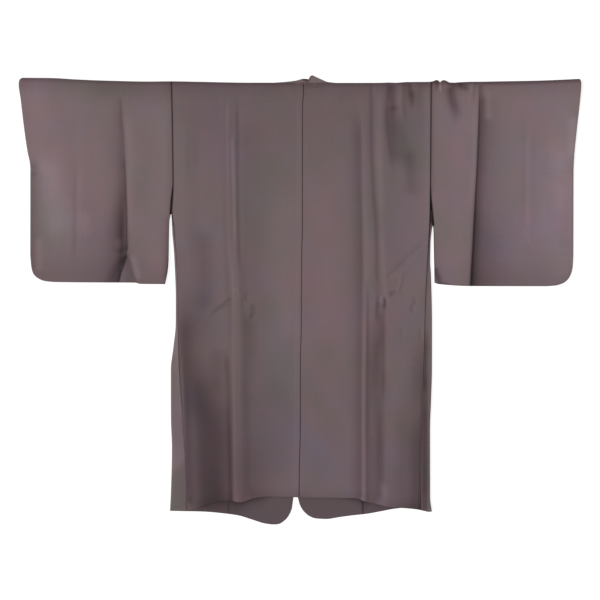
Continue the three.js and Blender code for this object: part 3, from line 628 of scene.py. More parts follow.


# %% [markdown]
# ## Painted light and shade, and tone
# The silk isn't one colour. It was woven with warp and weft of different shades, so it turns from rose to
# grey green as it lies. Light and shade are painted on it too: the cloth is darker in its hollows and
# creases, along the roll over the shoulder and on the lower back, and lighter along ridges and on the
# sleeves.
# Both are put on the points as soft patches, with the same kind of row as a crease: a path, an amount, and
# how far it reaches. The amounts of light and dark were worked out by a least squares comparison with the
# photo, and then rounded: -0.2 makes the cloth a fifth darker.

# %% Painted light and shade on the body
# Painted light and shade: each row darkens the cloth's colour (below zero) or lightens it where light and
# shade fall.
BODY_PAINTED_SHADING = [
    # top edge
    Crease(
        [(-297, 2), (-232, 2), (-88, 5), (0, 5), (70, 5), (186, 5), (209, 4), (251, 3), (302, 3)],
        -0.15, 7, 7, 0, 0, 3,
    ),
    Crease([(-297, -1), (302, 1)], -0.2, 28, 7, 0, 0),  # top band
    Crease([(-232, 54), (232, 54)], -0.09, 93, 70, 0, 0),  # broad dark below the shoulder
    Crease([(-283, 112), (-283, 367)], 0.08, 23, 23, 0, 0),  # left edge upper
    Crease([(-246, 135), (-241, 182)], -0.06, 14, 12, 0, 0),  # left hollow upper
    Crease([(-225, 367), (-220, 507)], -0.2, 23, 21, 0, 0),  # left hollow
    # left band's light side
    Crease([(-165, 66), (-165, 437), (-153, 646), (-146, 948)], -0.11, 12, 9, 70, 0, 3),
    Crease([(-139, 43), (-139, 507), (-130, 948)], 0.06, 3.5, 21, 46, 0, 1),  # left band's dark side
    # soft dark beside the left band
    Crease([(-125, 66), (-125, 507), (-116, 948)], -0.15, 14, 42, 70, 0),
    Crease([(-274, 437), (-260, 553), (-251, 692)], -0.3, 19, 56, 139, 139),  # left hip
    Crease([(-278, 521), (-274, 600), (-269, 727)], -0.3, 7, 26, 70, 116),  # left hip seam
    Crease([(-125, 548), (-123, 567)], -0.05, 9, 9, 0, 0),  # end of a short crease
    Crease([(-255, 600), (-241, 716), (-232, 832)], -0.25, 23, 32, 116, 116),  # lower left start
    Crease([(-260, 576), (-241, 669), (-223, 785), (-218, 982)], -0.55, 32, 51, 255, 0),  # lower left
    Crease([(-195, 739), (-193, 982)], -0.05, 46, 26, 186, 0, 3),  # lower left core
    # lower left edge
    Crease([(-190, 623), (-174, 739), (-167, 832), (-164, 982)], -0.2, 37, 8, 209, 0, 3),
    Crease([(-269, 600), (-258, 971)], -0.35, 6, 12, 139, 0),  # lower left seam
    Crease([(-104, 961), (0, 971)], -0.15, 42, 21, 0, 0),  # hem left
    Crease([(-255, 989), (-162, 971)], -0.07, 12, 19, 0, 0),  # hem far left
    Crease([(-32, 298), (-32, 576)], 0.1, 37, 28, 0, 0),  # light middle left
    Crease([(-58, 739), (-58, 878)], -0.12, 60, 51, 0, 0),  # lower middle left
    Crease([(58, 275), (70, 553)], 0.07, 51, 51, 0, 0),  # middle right
    Crease([(58, 739), (58, 924)], -0.04, 56, 51, 0, 0),  # lower middle right
    # hollow beside the first fold
    Crease([(140, 66), (142, 275), (145, 507), (142, 739), (142, 959)], -0.3, 16, 3.5, 70, 0, 1.4),
    Crease([(151, 623), (151, 959)], -0.08, 5.5, 5.5, 46, 0),  # the first fold's top, lower down
    # groove between the two folds
    Crease([(168, 10), (168, 159), (172, 251), (180, 326), (182, 437), (181, 576)], -0.11, 7, 7, 46, 23),
    # diagonal line
    Crease([(283, 377), (267, 392), (248, 409), (230, 430), (211, 449)], -0.11, 4, 4, 9, 23),
    Crease([(12, 14), (53, 13)], -0.09, 3, 3, 0, 0),  # below the collar, right of its peak
    Crease([(-9, 5), (12, 5)], 0.2, 2.5, 2.5, 0, 0),  # under the collar's peak
    Crease([(-200, 866), (-195, 994)], -0.06, 28, 21, 93, 0),  # lower left foot
    Crease([(-102, 785), (-107, 982)], -0.12, 51, 42, 116, 0),  # lower band left
    # small hooked crease
    Crease([(263, 499), (267, 510), (259, 525), (261, 539)], -0.15, 3.5, 3.5, 5, 7),
    Crease([(194, 646), (193, 924)], -0.2, 9, 9, 70, 0),  # the band's side, lower down
    Crease([(253, 177), (260, 251)], -0.2, 16, 16, 0, 0),  # upper right hollow
    # the same groove below the hip
    Crease([(179, 507), (176, 623), (175, 739), (179, 832), (176, 959)], -0.25, 19, 15, 139, 0, 3),
    Crease([(187, 19), (188, 159), (193, 321)], 0.07, 7, 7, 14, 46),  # light along the second fold
    Crease([(212, 6), (212, 43), (218, 71)], -0.3, 10, 12, 7, 9),  # first gather's top
    Crease([(209, 52), (211, 98), (218, 159), (227, 210)], -0.3, 12, 21, 19, 46),  # first gather
    Crease([(223, 84), (246, 159), (260, 219)], -0.08, 14, 21, 23, 56),  # right of the first gather
    Crease([(259, 6), (261, 47)], -0.15, 9, 7, 5, 19),  # second gather
    Crease([(234, 10), (241, 57)], 0.05, 8, 8, 5, 23),  # light between the gathers
    Crease([(278, 228), (269, 483)], 0.07, 37, 23, 0, 0),  # light towards the right seam
    Crease([(182, 507), (181, 558)], -0.15, 7, 7, 7, 19),  # crushed place at the right hip, left side
    Crease([(183, 535), (188, 588), (186, 658)], -0.11, 12, 9, 14, 70),  # below the crushed place
    Crease([(196, 500), (196, 528)], -0.3, 4.5, 5.5, 5, 7),  # its right side
    Crease([(211, 493), (223, 488)], -0.15, 5.5, 5.5, 0, 0),  # its upper spot
    Crease([(295, 19), (297, 340)], 0.11, 9, 9, 0, 0),  # along the right seam
    Crease([(283, 553), (278, 669), (271, 785)], -0.3, 19, 14, 116, 116),  # lower right start
    Crease([(281, 646), (274, 808), (270, 994)], -0.4, 16, 19, 209, 0),  # lower right
    Crease([(241, 669), (241, 994)], -0.2, 32, 32, 186, 0),  # lower right soft
    Crease([(287, 576), (282, 739), (277, 994)], -0.2, 4.5, 7, 162, 0),  # lower right seam
    Crease([(0, 971), (128, 971)], -0.12, 9, 19, 0, 0),  # hem right
    Crease([(151, 980), (278, 994)], -0.15, 12, 19, 0, 0),  # hem far right
    Crease([(186, 548), (181, 623), (176, 750)], -0.15, 12, 12, 56, 93),  # the groove's darkest part
    Crease([(182, 692), (182, 959)], -0.1, 6, 7, 116, 0),  # the groove's edge near the hem
    # light along the centre fold
    Crease([(-1, 19), (-1, 356), (-5, 576), (-7, 832), (-9, 959)], 0.04, 3.5, 3.5, 23, 23),
    Crease([(194, 507), (194, 750)], -0.25, 6, 6, 19, 70),  # dark beside the second fold below the hip
    Crease([(-172, 611), (-164, 739), (-159, 971)], -0.3, 7, 7, 46, 0),  # left band's edge near the hem
    # fine line along the left band
    Crease([(-159, 112), (-153, 251), (-150, 391)], 0.25, 3.5, 3.5, 46, 56),
    Crease([(260, 29), (260, 66)], -0.3, 7, 9, 0, 19),  # the second gather's foot
    # crease across the hip, its dark side
    Crease([(-160, 503), (-176, 516), (-193, 529), (-204, 539)], -0.07, 4, 4, 7, 14),
    Crease([(-147, 479), (-154, 493), (-159, 509)], 0.15, 4.5, 3.5, 5, 9),  # its light upper end
    Crease([(-155, 514), (-172, 521), (-188, 530)], -0.08, 4.5, 4.5, 7, 12),  # the hip crease's other side
    Crease([(-123, 483), (-125, 514)], -0.09, 4.5, 4, 7, 7),  # short line beside the band
    Crease([(-109, 514), (-108, 537), (-118, 553)], -0.25, 4.5, 4.5, 5, 9),  # and below it
    # hollow beside the band, lower down
    Crease([(-118, 535), (-117, 611), (-123, 692), (-125, 785), (-123, 948)], -0.12, 14, 16, 35, 0),
    Crease([(-190, 611), (-190, 739)], -0.15, 19, 14, 23, 46),  # inner part of the lower left
]
print("soft patches on the body:", len(BODY_PAINTED_SHADING))

# %% [markdown]
# The sleeves are lighter than the body. On them the patches of painted light and shade are mostly small: the
# tucks' hollows, the pinched gathers at the right armhole and the pleat at the left sleeve's foot.

# %% Painted light and shade on the sleeves and gussets
# Painted light and shade on the sleeves: dark hollows beside the tucks and below the gathers, light along
# crests and outer parts.
SLEEVE_PAINTED_SHADING = [
    Crease([(-652, -8), (-464, -1), (-297, 2)], -0.15, 7, 7, 0, 0, 3),  # top edge
    Crease([(-652, -11), (-464, -5), (-297, -1)], -0.2, 28, 7, 0, 0),  # top band
    Crease([(-455, 24), (-313, 24)], -0.12, 32, 32, 0, 0),  # top middle
    # the tuck's edge, upper part
    Crease(
        [(-416, 24), (-414, 61), (-412, 98), (-409, 117), (-408, 154), (-406, 191), (-404, 228)],
        -0.3, 8, 2, 32, 46, 1,
    ),
    # the tuck's edge
    Crease(
        [(-408, 154), (-406, 191), (-404, 228), (-403, 265), (-401, 303), (-401, 358), (-400, 393)],
        -0.55, 6, 2, 93, 5, 1,
    ),
    Crease([(-418, 43), (-415, 159), (-413, 251)], -0.15, 21, 7, 46, 70, 1),  # the hollow's top
    Crease([(-413, 159), (-413, 275), (-413, 405)], -0.3, 16, 8, 116, 14),  # hollow beside the tuck
    Crease([(-411, 228), (-415, 419)], -0.4, 46, 9, 139, 0, 1),  # the wide part of the hollow
    Crease([(-401, 395), (-422, 465)], -0.12, 19, 2.5, 0, 0, 1),  # dark wedge at the tuck's foot
    Crease([(-401, 391), (-423, 470)], -0.35, 7, 2, 0, 0, 1),  # its middle
    Crease([(-400, 407), (-400, 470)], -0.15, 9, 14, 0, 0),  # inside of the small pleat
    # the pleat's edge
    Crease(
        [(-400, 400), (-395, 414), (-391, 423), (-387, 442), (-381, 460), (-379, 470)],
        -0.3, 7, 2, 5, 0, 1,
    ),
    Crease([(-405, 66), (-400, 159), (-397, 367)], 0.15, 2, 12, 46, 46),  # crest light
    Crease([(-625, 205), (-625, 428)], -0.35, 7, 14, 14, 0, 1),  # outer edge
    Crease([(-617, 43), (-608, 159)], 0.11, 28, 46, 0, 0),  # painted light, upper part
    Crease([(-580, 210), (-566, 326)], 0.3, 37, 37, 0, 0),  # painted light, middle part
    Crease([(-513, 89), (-510, 367)], 0.05, 9, 14, 46, 46),  # beside the storage crease
    Crease([(-617, 456), (-313, 470)], -0.15, 9, 46, 0, 0),  # foot
    Crease([(-300, 6), (-299, 309)], -0.12, 9, 7, 0, 0),  # along the armhole seam
    Crease([(-306, 321), (-311, 470)], -0.35, 6, 7, 0, 0, 1),  # open inner edge
    Crease([(-413, 409), (-443, 470)], -0.2, 12, 12, 0, 0),  # left of the wedge
    Crease([(-421, 358), (-420, 395)], 0.2, 7, 7, 14, 14),  # swelling foot
    Crease([(-387, 409), (-375, 451)], 0.25, 7, 7, 0, 0),  # beside the pleat
    Crease([(-606, 372), (-606, 432)], 0.2, 9, 9, 0, 0),  # outer light
    Crease([(-499, 316), (-499, 344)], 0.15, 14, 14, 0, 0),  # middle light
    Crease([(-619, 196), (-617, 210)], -0.25, 9, 9, 0, 0),  # cuff dark
    # top edge
    Crease(
        [
            (302, 3), (317, -2), (324, 3), (333, -2), (346, 4), (394, 2), (464, 2), (557, -1),
            (650, -5),
        ],
        -0.35, 7, 7, 0, 0, 3,
    ),
    Crease([(302, 1), (650, -7)], -0.15, 28, 7, 0, 0),  # top band
    Crease([(348, 7), (367, 10), (380, 13)], -0.15, 7, 6, 0, 0),  # dark wedge at the top
    # the tuck's edge
    Crease(
        [(416, 24), (414, 94), (410, 193), (403, 298), (398, 391), (393, 477)],
        0.65, 2, 4.5, 19, 0, 1,
    ),
    # hollow beside the tuck
    Crease(
        [(416, 24), (414, 94), (410, 193), (403, 298), (398, 391), (393, 477)],
        -1.05, 2, 15, 19, 0, 1,
    ),
    Crease([(409, 228), (401, 367), (396, 477)], -0.2, 3, 32, 116, 0, 1),  # the hollow, lower down
    Crease([(441, 275), (436, 474)], -0.15, 28, 60, 116, 0),  # the wide part of the hollow
    Crease([(408, 43), (403, 182), (394, 309)], 0.1, 9, 3, 46, 46),  # crest light
    # soft dark below the pinches
    Crease([(350, 10), (355, 43), (364, 71), (367, 103)], -0.45, 12, 12, 7, 56),
    Crease([(327, 6), (327, 19)], 0.25, 4, 4, 0, 0),  # bright notch of the first pinch
    Crease([(332, 15), (334, 43)], -0.04, 9, 7, 5, 19),  # short gather
    Crease([(399, 8), (394, 31)], -0.06, 7, 9, 5, 14),  # light between the gathers
    Crease([(304, 6), (304, 251)], -0.15, 7, 9, 0, 0),  # along the armhole seam
    Crease([(311, 356), (313, 470)], -0.15, 7, 6, 0, 0, 1),  # open inner edge
    Crease([(617, 66), (608, 182)], 0.15, 46, 46, 0, 0),  # painted light, upper part
    Crease([(603, 193), (589, 333)], 0.2, 51, 46, 0, 0),  # painted light, middle part
    Crease([(603, 395), (608, 432)], 0.15, 32, 19, 0, 0),  # painted light, lower part
    Crease([(632, 210), (632, 419)], 0.15, 14, 7, 14, 0, 1),  # outer edge
    Crease([(325, 474), (615, 474)], -0.08, 9, 51, 0, 0),  # foot
    Crease([(418, 460), (534, 460)], -0.04, 32, 32, 0, 0),  # foot middle
    Crease([(313, 437), (325, 470), (341, 474)], -0.45, 6, 7, 0, 0),  # curled corner
    Crease([(336, 460), (353, 470)], 0.04, 7, 7, 0, 0),  # light beside the curl
    Crease([(510, 66), (510, 414)], 0.04, 51, 51, 0, 0),  # the sleeve's middle
    Crease([(374, 10), (385, 16)], -0.3, 7, 7, 0, 0),  # middle of the wedge at the top
    Crease([(321, 3), (317, 15)], -0.2, 3, 3, 0, 0),  # dark side of the first pinch
    Crease([(633, 94), (631, 163)], 0.25, 12, 12, 0, 0),  # cuff light
    Crease([(417, 6), (418, 38)], -0.3, 3.5, 7, 5, 9),  # the tuck's top
    Crease([(434, 38), (436, 80)], 0.25, 9, 9, 0, 0),  # light beyond the tuck
    Crease([(603, 251), (603, 284)], 0.15, 19, 19, 0, 0),  # right mark
    Crease([(575, 182), (575, 210)], -0.09, 16, 16, 0, 0),  # upper mark
    Crease([(400, 6), (398, 22)], 0.2, 3.5, 3.5, 0, 0),  # bright pinch beside the tuck
]
# Painted light and shade on the gussets.
GUSSET_PAINTED_SHADING = [
    Crease([(-292, 507), (-292, 971)], 0.12, 139, 139, 0, 0),  # the whole left gusset
    Crease([(-288, 576), (-288, 646)], 0.15, 14, 14, 0, 23),  # its light upper part
    Crease([(-285, 692), (-285, 832)], -0.08, 19, 19, 0, 0),  # its middle
    Crease([(-297, 832), (-299, 982)], 0.09, 8, 8, 0, 0),  # lower outer
    Crease([(-274, 785), (-269, 982)], -0.11, 8, 8, 0, 0),  # lower inner
    Crease([(-290, 961), (-216, 906)], -0.2, 51, 51, 0, 0, 12),  # foot dark
    Crease([(297, 391), (297, 971)], -0.05, 139, 139, 0, 0),  # the whole right gusset
    Crease([(297, 391), (297, 576)], 0.06, 12, 12, 0, 0),  # its light upper part
    Crease([(290, 553), (288, 739)], -0.45, 7, 7, 70, 46),  # middle inner
    Crease([(291, 646), (289, 762), (289, 989)], -0.5, 9, 9, 139, 0, 3),  # lower inner
    Crease([(292, 971), (297, 994)], 0.1, 14, 14, 0, 0),  # foot
    Crease([(300, 716), (300, 971)], 0.06, 3.5, 7, 46, 0),  # outer rim
]
print("soft patches on the sleeves and gussets:", len(SLEEVE_PAINTED_SHADING) + len(GUSSET_PAINTED_SHADING))


def painted_shading_of(rows, x, drop):
    """How light the cloth is painted for light and shade, where 1 is its own colour."""
    return np.maximum(1 + total(rows, x, drop), 0.06)


# %% [markdown]
# The hue drifts more broadly than the light does. Each row here leans the silk towards rose, or below zero
# towards grey green, and the second table says where it has kept a violet bloom.

# %% Where it leans to rose, to grey green or to violet
TONES = [
    # left sleeve
    Crease([(-620, 40), (-600, 200)], 0.5, 60, 60, 0, 60),
    Crease([(-590, 250), (-580, 400)], -0.5, 40, 60, 60, 60),
    Crease([(-480, 120), (-470, 380)], 0.35, 60, 50, 60, 60),
    Crease([(-560, 10), (-330, 20)], -0.5, 16, 26, 60, 60),
    Crease([(-340, 300), (-340, 460)], 0.4, 50, 40, 60, 30),
    Crease([(-603, 70), (-348, 70)], 0.25, 24, 24, 0, 0),
    Crease([(-422, 381), (-371, 330)], 0.4, 28, 28, 0, 0),
    # left half and gusset
    Crease([(-80, 150), (-60, 460)], -0.5, 60, 50, 80, 80),
    Crease([(-190, 80), (-190, 460)], 0.25, 60, 50, 60, 80),
    Crease([(-60, 600), (-60, 800)], -0.7, 60, 50, 60, 80),
    Crease([(-290, 870), (-284, 1000)], -0.9, 20, 12, 50, 0),
    Crease([(-218, 24), (-174, 147)], -0.3, 36, 44, 0, 0),
    Crease([(-46, 344), (-12, 449)], 0.4, 42, 42, 0, 0),
    Crease([(-65, 530), (-58, 600)], -0.4, 28, 28, 0, 0),
    Crease([(-65, 688), (-65, 750)], 0.4, 32, 32, 0, 0),
    Crease([(-151, 948), (-88, 948)], 0.5, 24, 24, 0, 0),
    Crease([(-222, 815), (-160, 940)], 0.35, 46, 46, 0, 0),
    Crease([(-218, 610), (-116, 720)], 0.25, 50, 50, 0, 0),
    # right half and gusset
    Crease([(70, 150), (80, 480)], 0.45, 60, 50, 80, 40),
    Crease([(70, 500), (70, 640)], 0.3, 50, 50, 40, 60),
    Crease([(240, 60), (250, 260)], -0.7, 50, 40, 40, 80),
    Crease([(240, 380), (285, 430)], 0.3, 34, 34, 0, 0),
    Crease([(230, 540), (230, 760)], -0.3, 50, 40, 60, 80),
    Crease([(296, 860), (298, 1000)], -0.8, 12, 12, 60, 0),
    Crease([(37, 474), (88, 507)], 0.8, 50, 50, 0, 0),
    Crease([(139, 548), (144, 611)], 0.5, 24, 32, 0, 0),
    Crease([(88, 739), (139, 797)], 0.35, 38, 38, 0, 0),
    Crease([(88, 943), (144, 948)], 0.4, 28, 28, 0, 0),
    Crease([(121, 887), (290, 896)], -0.4, 24, 24, 0, 0),
    Crease([(186, 381), (195, 405)], 0.5, 28, 28, 0, 0),
    Crease([(241, 585), (241, 646)], 0.4, 28, 28, 0, 0),
    Crease([(44, 700), (180, 725)], 0.25, 36, 36, 0, 0),
    Crease([(70, 60), (110, 90)], 0.25, 40, 40, 0, 0),
    # right sleeve
    Crease([(370, 60), (370, 440)], 0.35, 50, 40, 60, 60),
    Crease([(480, 60), (480, 460)], 0.15, 60, 60, 60, 60),
    Crease([(560, 400), (500, 470)], -0.3, 60, 40, 40, 0),
    Crease([(343, 15), (394, 43)], 0.5, 40, 40, 0, 0),
    Crease([(371, 275), (399, 356)], -0.5, 34, 38, 0, 0),
    Crease([(343, 425), (348, 440)], 0.6, 28, 28, 0, 0),
    Crease([(535, 80), (600, 160)], 0.4, 40, 40, 0, 0),
]


def tone_of(x, drop):
    """Above zero the cloth leans to rose, below zero to grey green."""
    return total(TONES, x, drop)


BLOOMS = [
    # left sleeve
    Crease([(-580, 275), (-500, 450)], 0.55, 40, 60, 0, 0),
    # left half and gusset
    Crease([(-116, 739), (-88, 901)], 0.4, 36, 40, 0, 0),
    Crease([(-16, 943), (10, 950)], 0.5, 30, 30, 0, 0),
    Crease([(-197, 15), (-197, 160)], 0.6, 50, 80, 0, 0),
    Crease([(-250, 420), (-215, 560)], 0.38, 46, 60, 0, 0),
    Crease([(-51, 576), (-35, 831)], 0.75, 50, 46, 0, 0),
    Crease([(-269, 739), (-255, 947)], 0.5, 28, 32, 0, 0),
    # right half and gusset
    Crease([(238, 290), (272, 400)], 0.3, 40, 40, 0, 0),
    Crease([(241, 135), (267, 414)], 0.45, 55, 40, 0, 0),
    Crease([(0, 855), (232, 924)], 0.85, 70, 70, 0, 0),
    Crease([(190, 506), (241, 535)], 0.4, 35, 35, 0, 0),
    Crease([(-150, 1012), (160, 1010)], 0.7, 26, 24, 0, 0),
    # right sleeve
    Crease([(430, 200), (464, 437)], 0.6, 80, 130, 0, 0),
    Crease([(600, 190), (604, 340)], 0.4, 40, 40, 0, 0),
    Crease([(606, 10), (600, 60)], 0.35, 40, 40, 0, 0),
    Crease([(568, 310), (580, 450)], 0.4, 60, 60, 0, 0),
]


def bloom_of(x, drop):
    """How much violet bloom the cloth has kept."""
    return total(BLOOMS, x, drop)


# %% [markdown]
# ## The body
# A kimono body is two long lengths of cloth, each the width of the loom. Each runs from the back hem, over
# the shoulder without a seam, to the front hem. The half way line at the centre back is a seam, and the
# cloth there is pressed to one side in a narrow fold that hides the stitches.

# %% The front and the hem's shadow on it
FRONT_CURL = 0.9
FRONT_CURL_RUN = 46
FRONT_EDGE_LIFT = 0.35
HEM_DARK = smooth_curve([  # how dark the back's hem makes the fronts just below it: (x, share)
    (-240, 0.15), (-215, 0.58), (-150, 0.66), (-111, 0.68), (-93, 0.6), (-74, 0.4), (-58, 0.08), (20, 0.08),
    (60, 0.15), (95, 0.3), (111, 0.5), (130, 0.74), (148, 0.7), (167, 0.4), (200, 0.35),
])
HEM_SHADOW_RUN = smooth_curve([  # and how far down: (x, mm)
    (-240, 27), (-150, 24), (-130, 12), (-93, 11), (-70, 5), (60, 3), (111, 4), (130, 6), (148, 13),
    (200, 18),
])


def front_height(x, drop, hem):
    """The front's outer side, on the floor but for a slight curl along its hem."""
    to_hem = hem(x) - drop
    return FRONT_CURL * (1 - eased(to_hem / FRONT_CURL_RUN)) * (0.55 + 0.45 * np.sin(x / 31))


def hem_shadow(half, x, drop):
    """How the back's hem shades the fronts below it: strongest where it stands high."""
    below = np.clip(drop - half.back_hem(x), 0, None)
    return 1 - HEM_DARK(x) * np.exp(-below / HEM_SHADOW_RUN(x))


# %% [markdown]
# The back of a body length is the leaf that shows. The left one has the pressed fold of the centre seam, and
# both turn down into their seams and at the hem. The front is the leaf below, on the floor, coarser because
# only its hem shows.

# %% The two leaves of a body length
BODY_LENGTH = 960  # about what hangs below the roll
COLUMN_STEP = 2.7
ROW_STEP = 4.2
LOWER_ROW_STEP = 11
SEAM_DEPTH = 1.1
SEAM_RUN = 1.8
PRESSED_FOLD = 0.5  # height of the pressed seam allowance beside the centre back seam
PRESSED_WIDTH = 11.5
HEM_DEPTH = 1.0
HEM_RUN = 1.6


def back_leaf(half, across, count, centre, rows):
    """The back: its grid of x, drop and height, and the dark lines of its seams."""
    x, drop = leaf_places(across, count, half.back_hem, rows)
    height = body_height(x, drop)
    from_centre = np.abs(x - centre(drop))
    from_edge = np.abs(x - half.back_edge(drop))
    if half is LEFT:
        height = height + PRESSED_FOLD * (1 - eased((from_centre - PRESSED_WIDTH) / 1.8))
    height = dipped(height, from_centre, SEAM_DEPTH, SEAM_RUN)
    height = dipped(height, from_edge, SEAM_DEPTH * half.seam_dip(drop), SEAM_RUN)
    height = dipped(height, half.back_hem(x) - drop, HEM_DEPTH, HEM_RUN)
    seams = seam_shade(from_centre, 0.5, 1.0) * seam_shade(from_edge, half.seam_painted_shade(drop))
    return x, drop, height, seams


def front_leaf(half, shares, spare):
    """The front: x, drop, height, shade and tone, padded to the back's number of columns."""
    front, count = columns_between([half.front_edge, half.opening], [shares])
    rows = graded(BODY_LENGTH, LOWER_ROW_STEP, last=EDGE_STEPS)
    x, drop = leaf_places(front, count, half.front_hem, rows)
    height = front_height(x, drop, half.front_hem)
    height = height + FRONT_EDGE_LIFT * (1 - eased((half.front_hem(x) - drop) / 1.4))
    facing_edge = np.abs(x - (half.opening(1026.0) + half.side * FACING_WIDTH))
    shade = half.inside_painted_shade * hem_shadow(half, x, drop) * seam_shade(facing_edge, 0.3, 2)
    # painted shade: in the slit the front darkens towards its edge, for the shadow at the armhole's end
    slit_painted_shade = seam_shade(np.abs(x - half.front_edge(drop)), 0.6, 5)
    shade = np.where(drop < GUSSET_SHOWS_DROP, slit_painted_shade, shade)
    leaf = [np.pad(part, ((0, 0), (0, spare)), mode="edge") for part in (x, drop, height, shade)]
    return (*leaf, np.zeros_like(leaf[0]))


# %% [markdown]
# A whole body length is the back, the roll over the shoulder and the front in one grid. Inside the neck there
# is no roll and no front, so those faces are left out. Last come the turnings, on the outer seam and, at the
# left, on the centre seam too.

# %% One body length
TURNING_END_DROP = 985  # the turnings stop short of the hem
CENTRE_TURNING_END_DROP = 955


def outer_turning(half, drop):
    """How wide the turning on the outer seam is. It fills the armhole's end as a dark sheet of painted
    shadow, and fits inside the gusset.
    """
    spread = np.abs(half.sleeve_edge(drop) - half.back_edge(drop))
    spread = np.where((drop > ARMHOLE_DROP) & (drop < half.slit_drop), spread, 0)
    room = np.abs(half.gusset_fold(drop) - half.back_edge(drop)) - 0.4
    free = (drop < half.slit_drop) | (drop > GUSSET_SHOWS_DROP)
    return np.where(free, TURNING + spread, np.clip(room, 0.3, TURNING))


def body_length(half, word):
    neck = lambda drop: np.full_like(drop, half.neck_x)
    centre = lambda drop: CENTRE_SEAM(drop) + half.side * SEAM_GAP / 2
    outer_width = abs(half.neck_x - half.back_edge(0.0))
    neck_width = abs(CENTRE_X - half.neck_x)
    outer_shares = graded(outer_width, COLUMN_STEP, first=SEAM_STEPS)[:-1]
    neck_shares = graded(neck_width, COLUMN_STEP, last=SEAM_STEPS)
    across, count = columns_between([half.back_edge, neck, centre], [outer_shares, neck_shares])
    rows = graded(BODY_LENGTH, ROW_STEP, last=EDGE_STEPS)
    x, drop, height, seams = back_leaf(half, across, count, centre, rows)
    roll = roll_over(across, drop[0], height[0])
    shoulder_count = len(outer_shares) + 1
    upper = (x, drop, height, painted_shading_of(BODY_PAINTED_SHADING, x, drop) * seams, tone_of(x, drop))
    over = (*roll, painted_shading_of(BODY_PAINTED_SHADING, *roll[:2]) * seams[:1], tone_of(*roll[:2]))
    lower = front_leaf(half, np.append(outer_shares, 1), count - shoulder_count)
    grid = [np.vstack((top[::-1], turned, low)) for top, turned, low in zip(upper, over, lower)]

    kept = np.ones((grid[0].shape[0] - 1, count - 1), dtype=bool)
    kept[len(rows) - 1 + FOLD_STEPS // 2:, shoulder_count - 1:] = False
    is_back = np.arange(grid[0].shape[0]) < len(rows) - 2
    edge_drop = grid[1][:, 0]
    width = outer_turning(half, edge_drop) * (is_back & (edge_drop < TURNING_END_DROP))
    grid, kept = with_turning(grid, kept, True, half.side * width)
    if half is LEFT:
        at_centre = is_back & (grid[1][:, -1] < CENTRE_TURNING_END_DROP)
        grid, kept = with_turning(grid, kept, False, TURNING * at_centre)
    return sheet_of_cloth(f"body_{word}_cloth", grid, kept, flip=half is RIGHT)


body_left = body_length(LEFT, "left")
body_right = body_length(RIGHT, "right")

# %% [markdown]
# ## The sleeves
# A sleeve is one length folded at the top. It is sewn along the bottom, round the corner and up the outer
# edge to the cuff opening. Its inner edge is sewn to the body down to the armhole's end and open below. The
# grid goes all the way round like a tube, and a narrow strip closes the sewn part of the outer edge.

# %% A sleeve's edges
CLOSED_RUN = 5  # the sewn outer edge and the bottom round off over this distance
CLOSED_HEIGHT = 1.5
UNDER_EDGE = 0.35
CUFF_DEPTH = 0.9
CUFF_RUN = 1.5


def inner_edge(half, below):
    """The sleeve's inner edge: along the armhole seam, and then free."""
    def line(drop):
        return np.where(drop < ARMHOLE_DROP, half.back_edge(drop) + half.side * ARMHOLE_GAP, below(drop))
    return line


def towards_closed(half, x, drop):
    """Distance to the sewn outer edge or the bottom, whichever is nearer."""
    slope = np.abs(half.sleeve_bottom(x + 1) - half.sleeve_bottom(x - 1)) / 2
    to_bottom = (half.sleeve_bottom(x) - drop) / np.hypot(1, slope)
    to_outer = (half.sleeve_outer(drop) - x) * half.side
    to_outer = np.where(drop < CUFF_OPENING_DROP, np.inf, to_outer)
    return np.maximum(np.minimum(to_bottom, to_outer), 0)


def upper_sleeve(half, x, drop, inner):
    """The upper leaf's height and the dark line along its armhole."""
    armhole = np.where(drop < half.slit_drop, np.abs(x - inner(drop)), np.inf)
    height = dipped(sleeve_height(half, x, drop), armhole, SEAM_DEPTH, SEAM_RUN)
    closed = np.clip(towards_closed(half, x, drop) / CLOSED_RUN, 0, 1)
    height = CLOSED_HEIGHT + (height - CLOSED_HEIGHT) * np.sqrt(1 - (1 - closed) ** 2)
    cuff = np.where(drop < CUFF_OPENING_DROP, np.abs(half.sleeve_outer(drop) - x), np.inf)
    return dipped(height, cuff, CUFF_DEPTH, CUFF_RUN), seam_shade(armhole, 0.8, 1.8)


def closing_faces(half, shape, drop):
    """The faces that close the sleeve along its bottom and its sewn outer edge."""
    index = np.arange(shape[0] * shape[1]).reshape(shape)
    bottom = np.column_stack((index[-1, :-1], index[-1, 1:], index[0, 1:], index[0, :-1]))
    outer = index[:, 0] if half is LEFT else index[:, -1]
    count = int(np.sum(drop[:, -1] > CUFF_OPENING_DROP)) - 1
    near, far = outer[:count], outer[1:count + 1]
    near_low, far_low = outer[::-1][:count], outer[::-1][1:count + 1]
    side = (near, far, far_low, near_low) if half is LEFT else (far, near, near_low, far_low)
    return bottom, np.column_stack(side)


# %% [markdown]
# The columns of a sleeve run in three groups: from the armhole to the tuck, finely because the cloth is
# gathered there, down the tuck's steep side, and from its foot to the cuff.

# %% One sleeve
SLEEVE_LENGTH = 460
SLEEVE_COLUMN_STEP = 3.3
GATHER_COLUMN_STEP = 2.1
SLEEVE_ROW_STEP = 4.0
TUCK_STEPS = (0, 0.5, 1.2, 2.2)  # mm from the tuck's edge
TUCK_SIDE_SHARES = (0, 0.16, 0.33, 0.5, 0.67, 0.84)
OUTER_STEPS = (0, 0.3, 0.8, 1.6, 2.8, 4.5, 7, 10, 14, 19)
UNDER_SHADE = 0.97


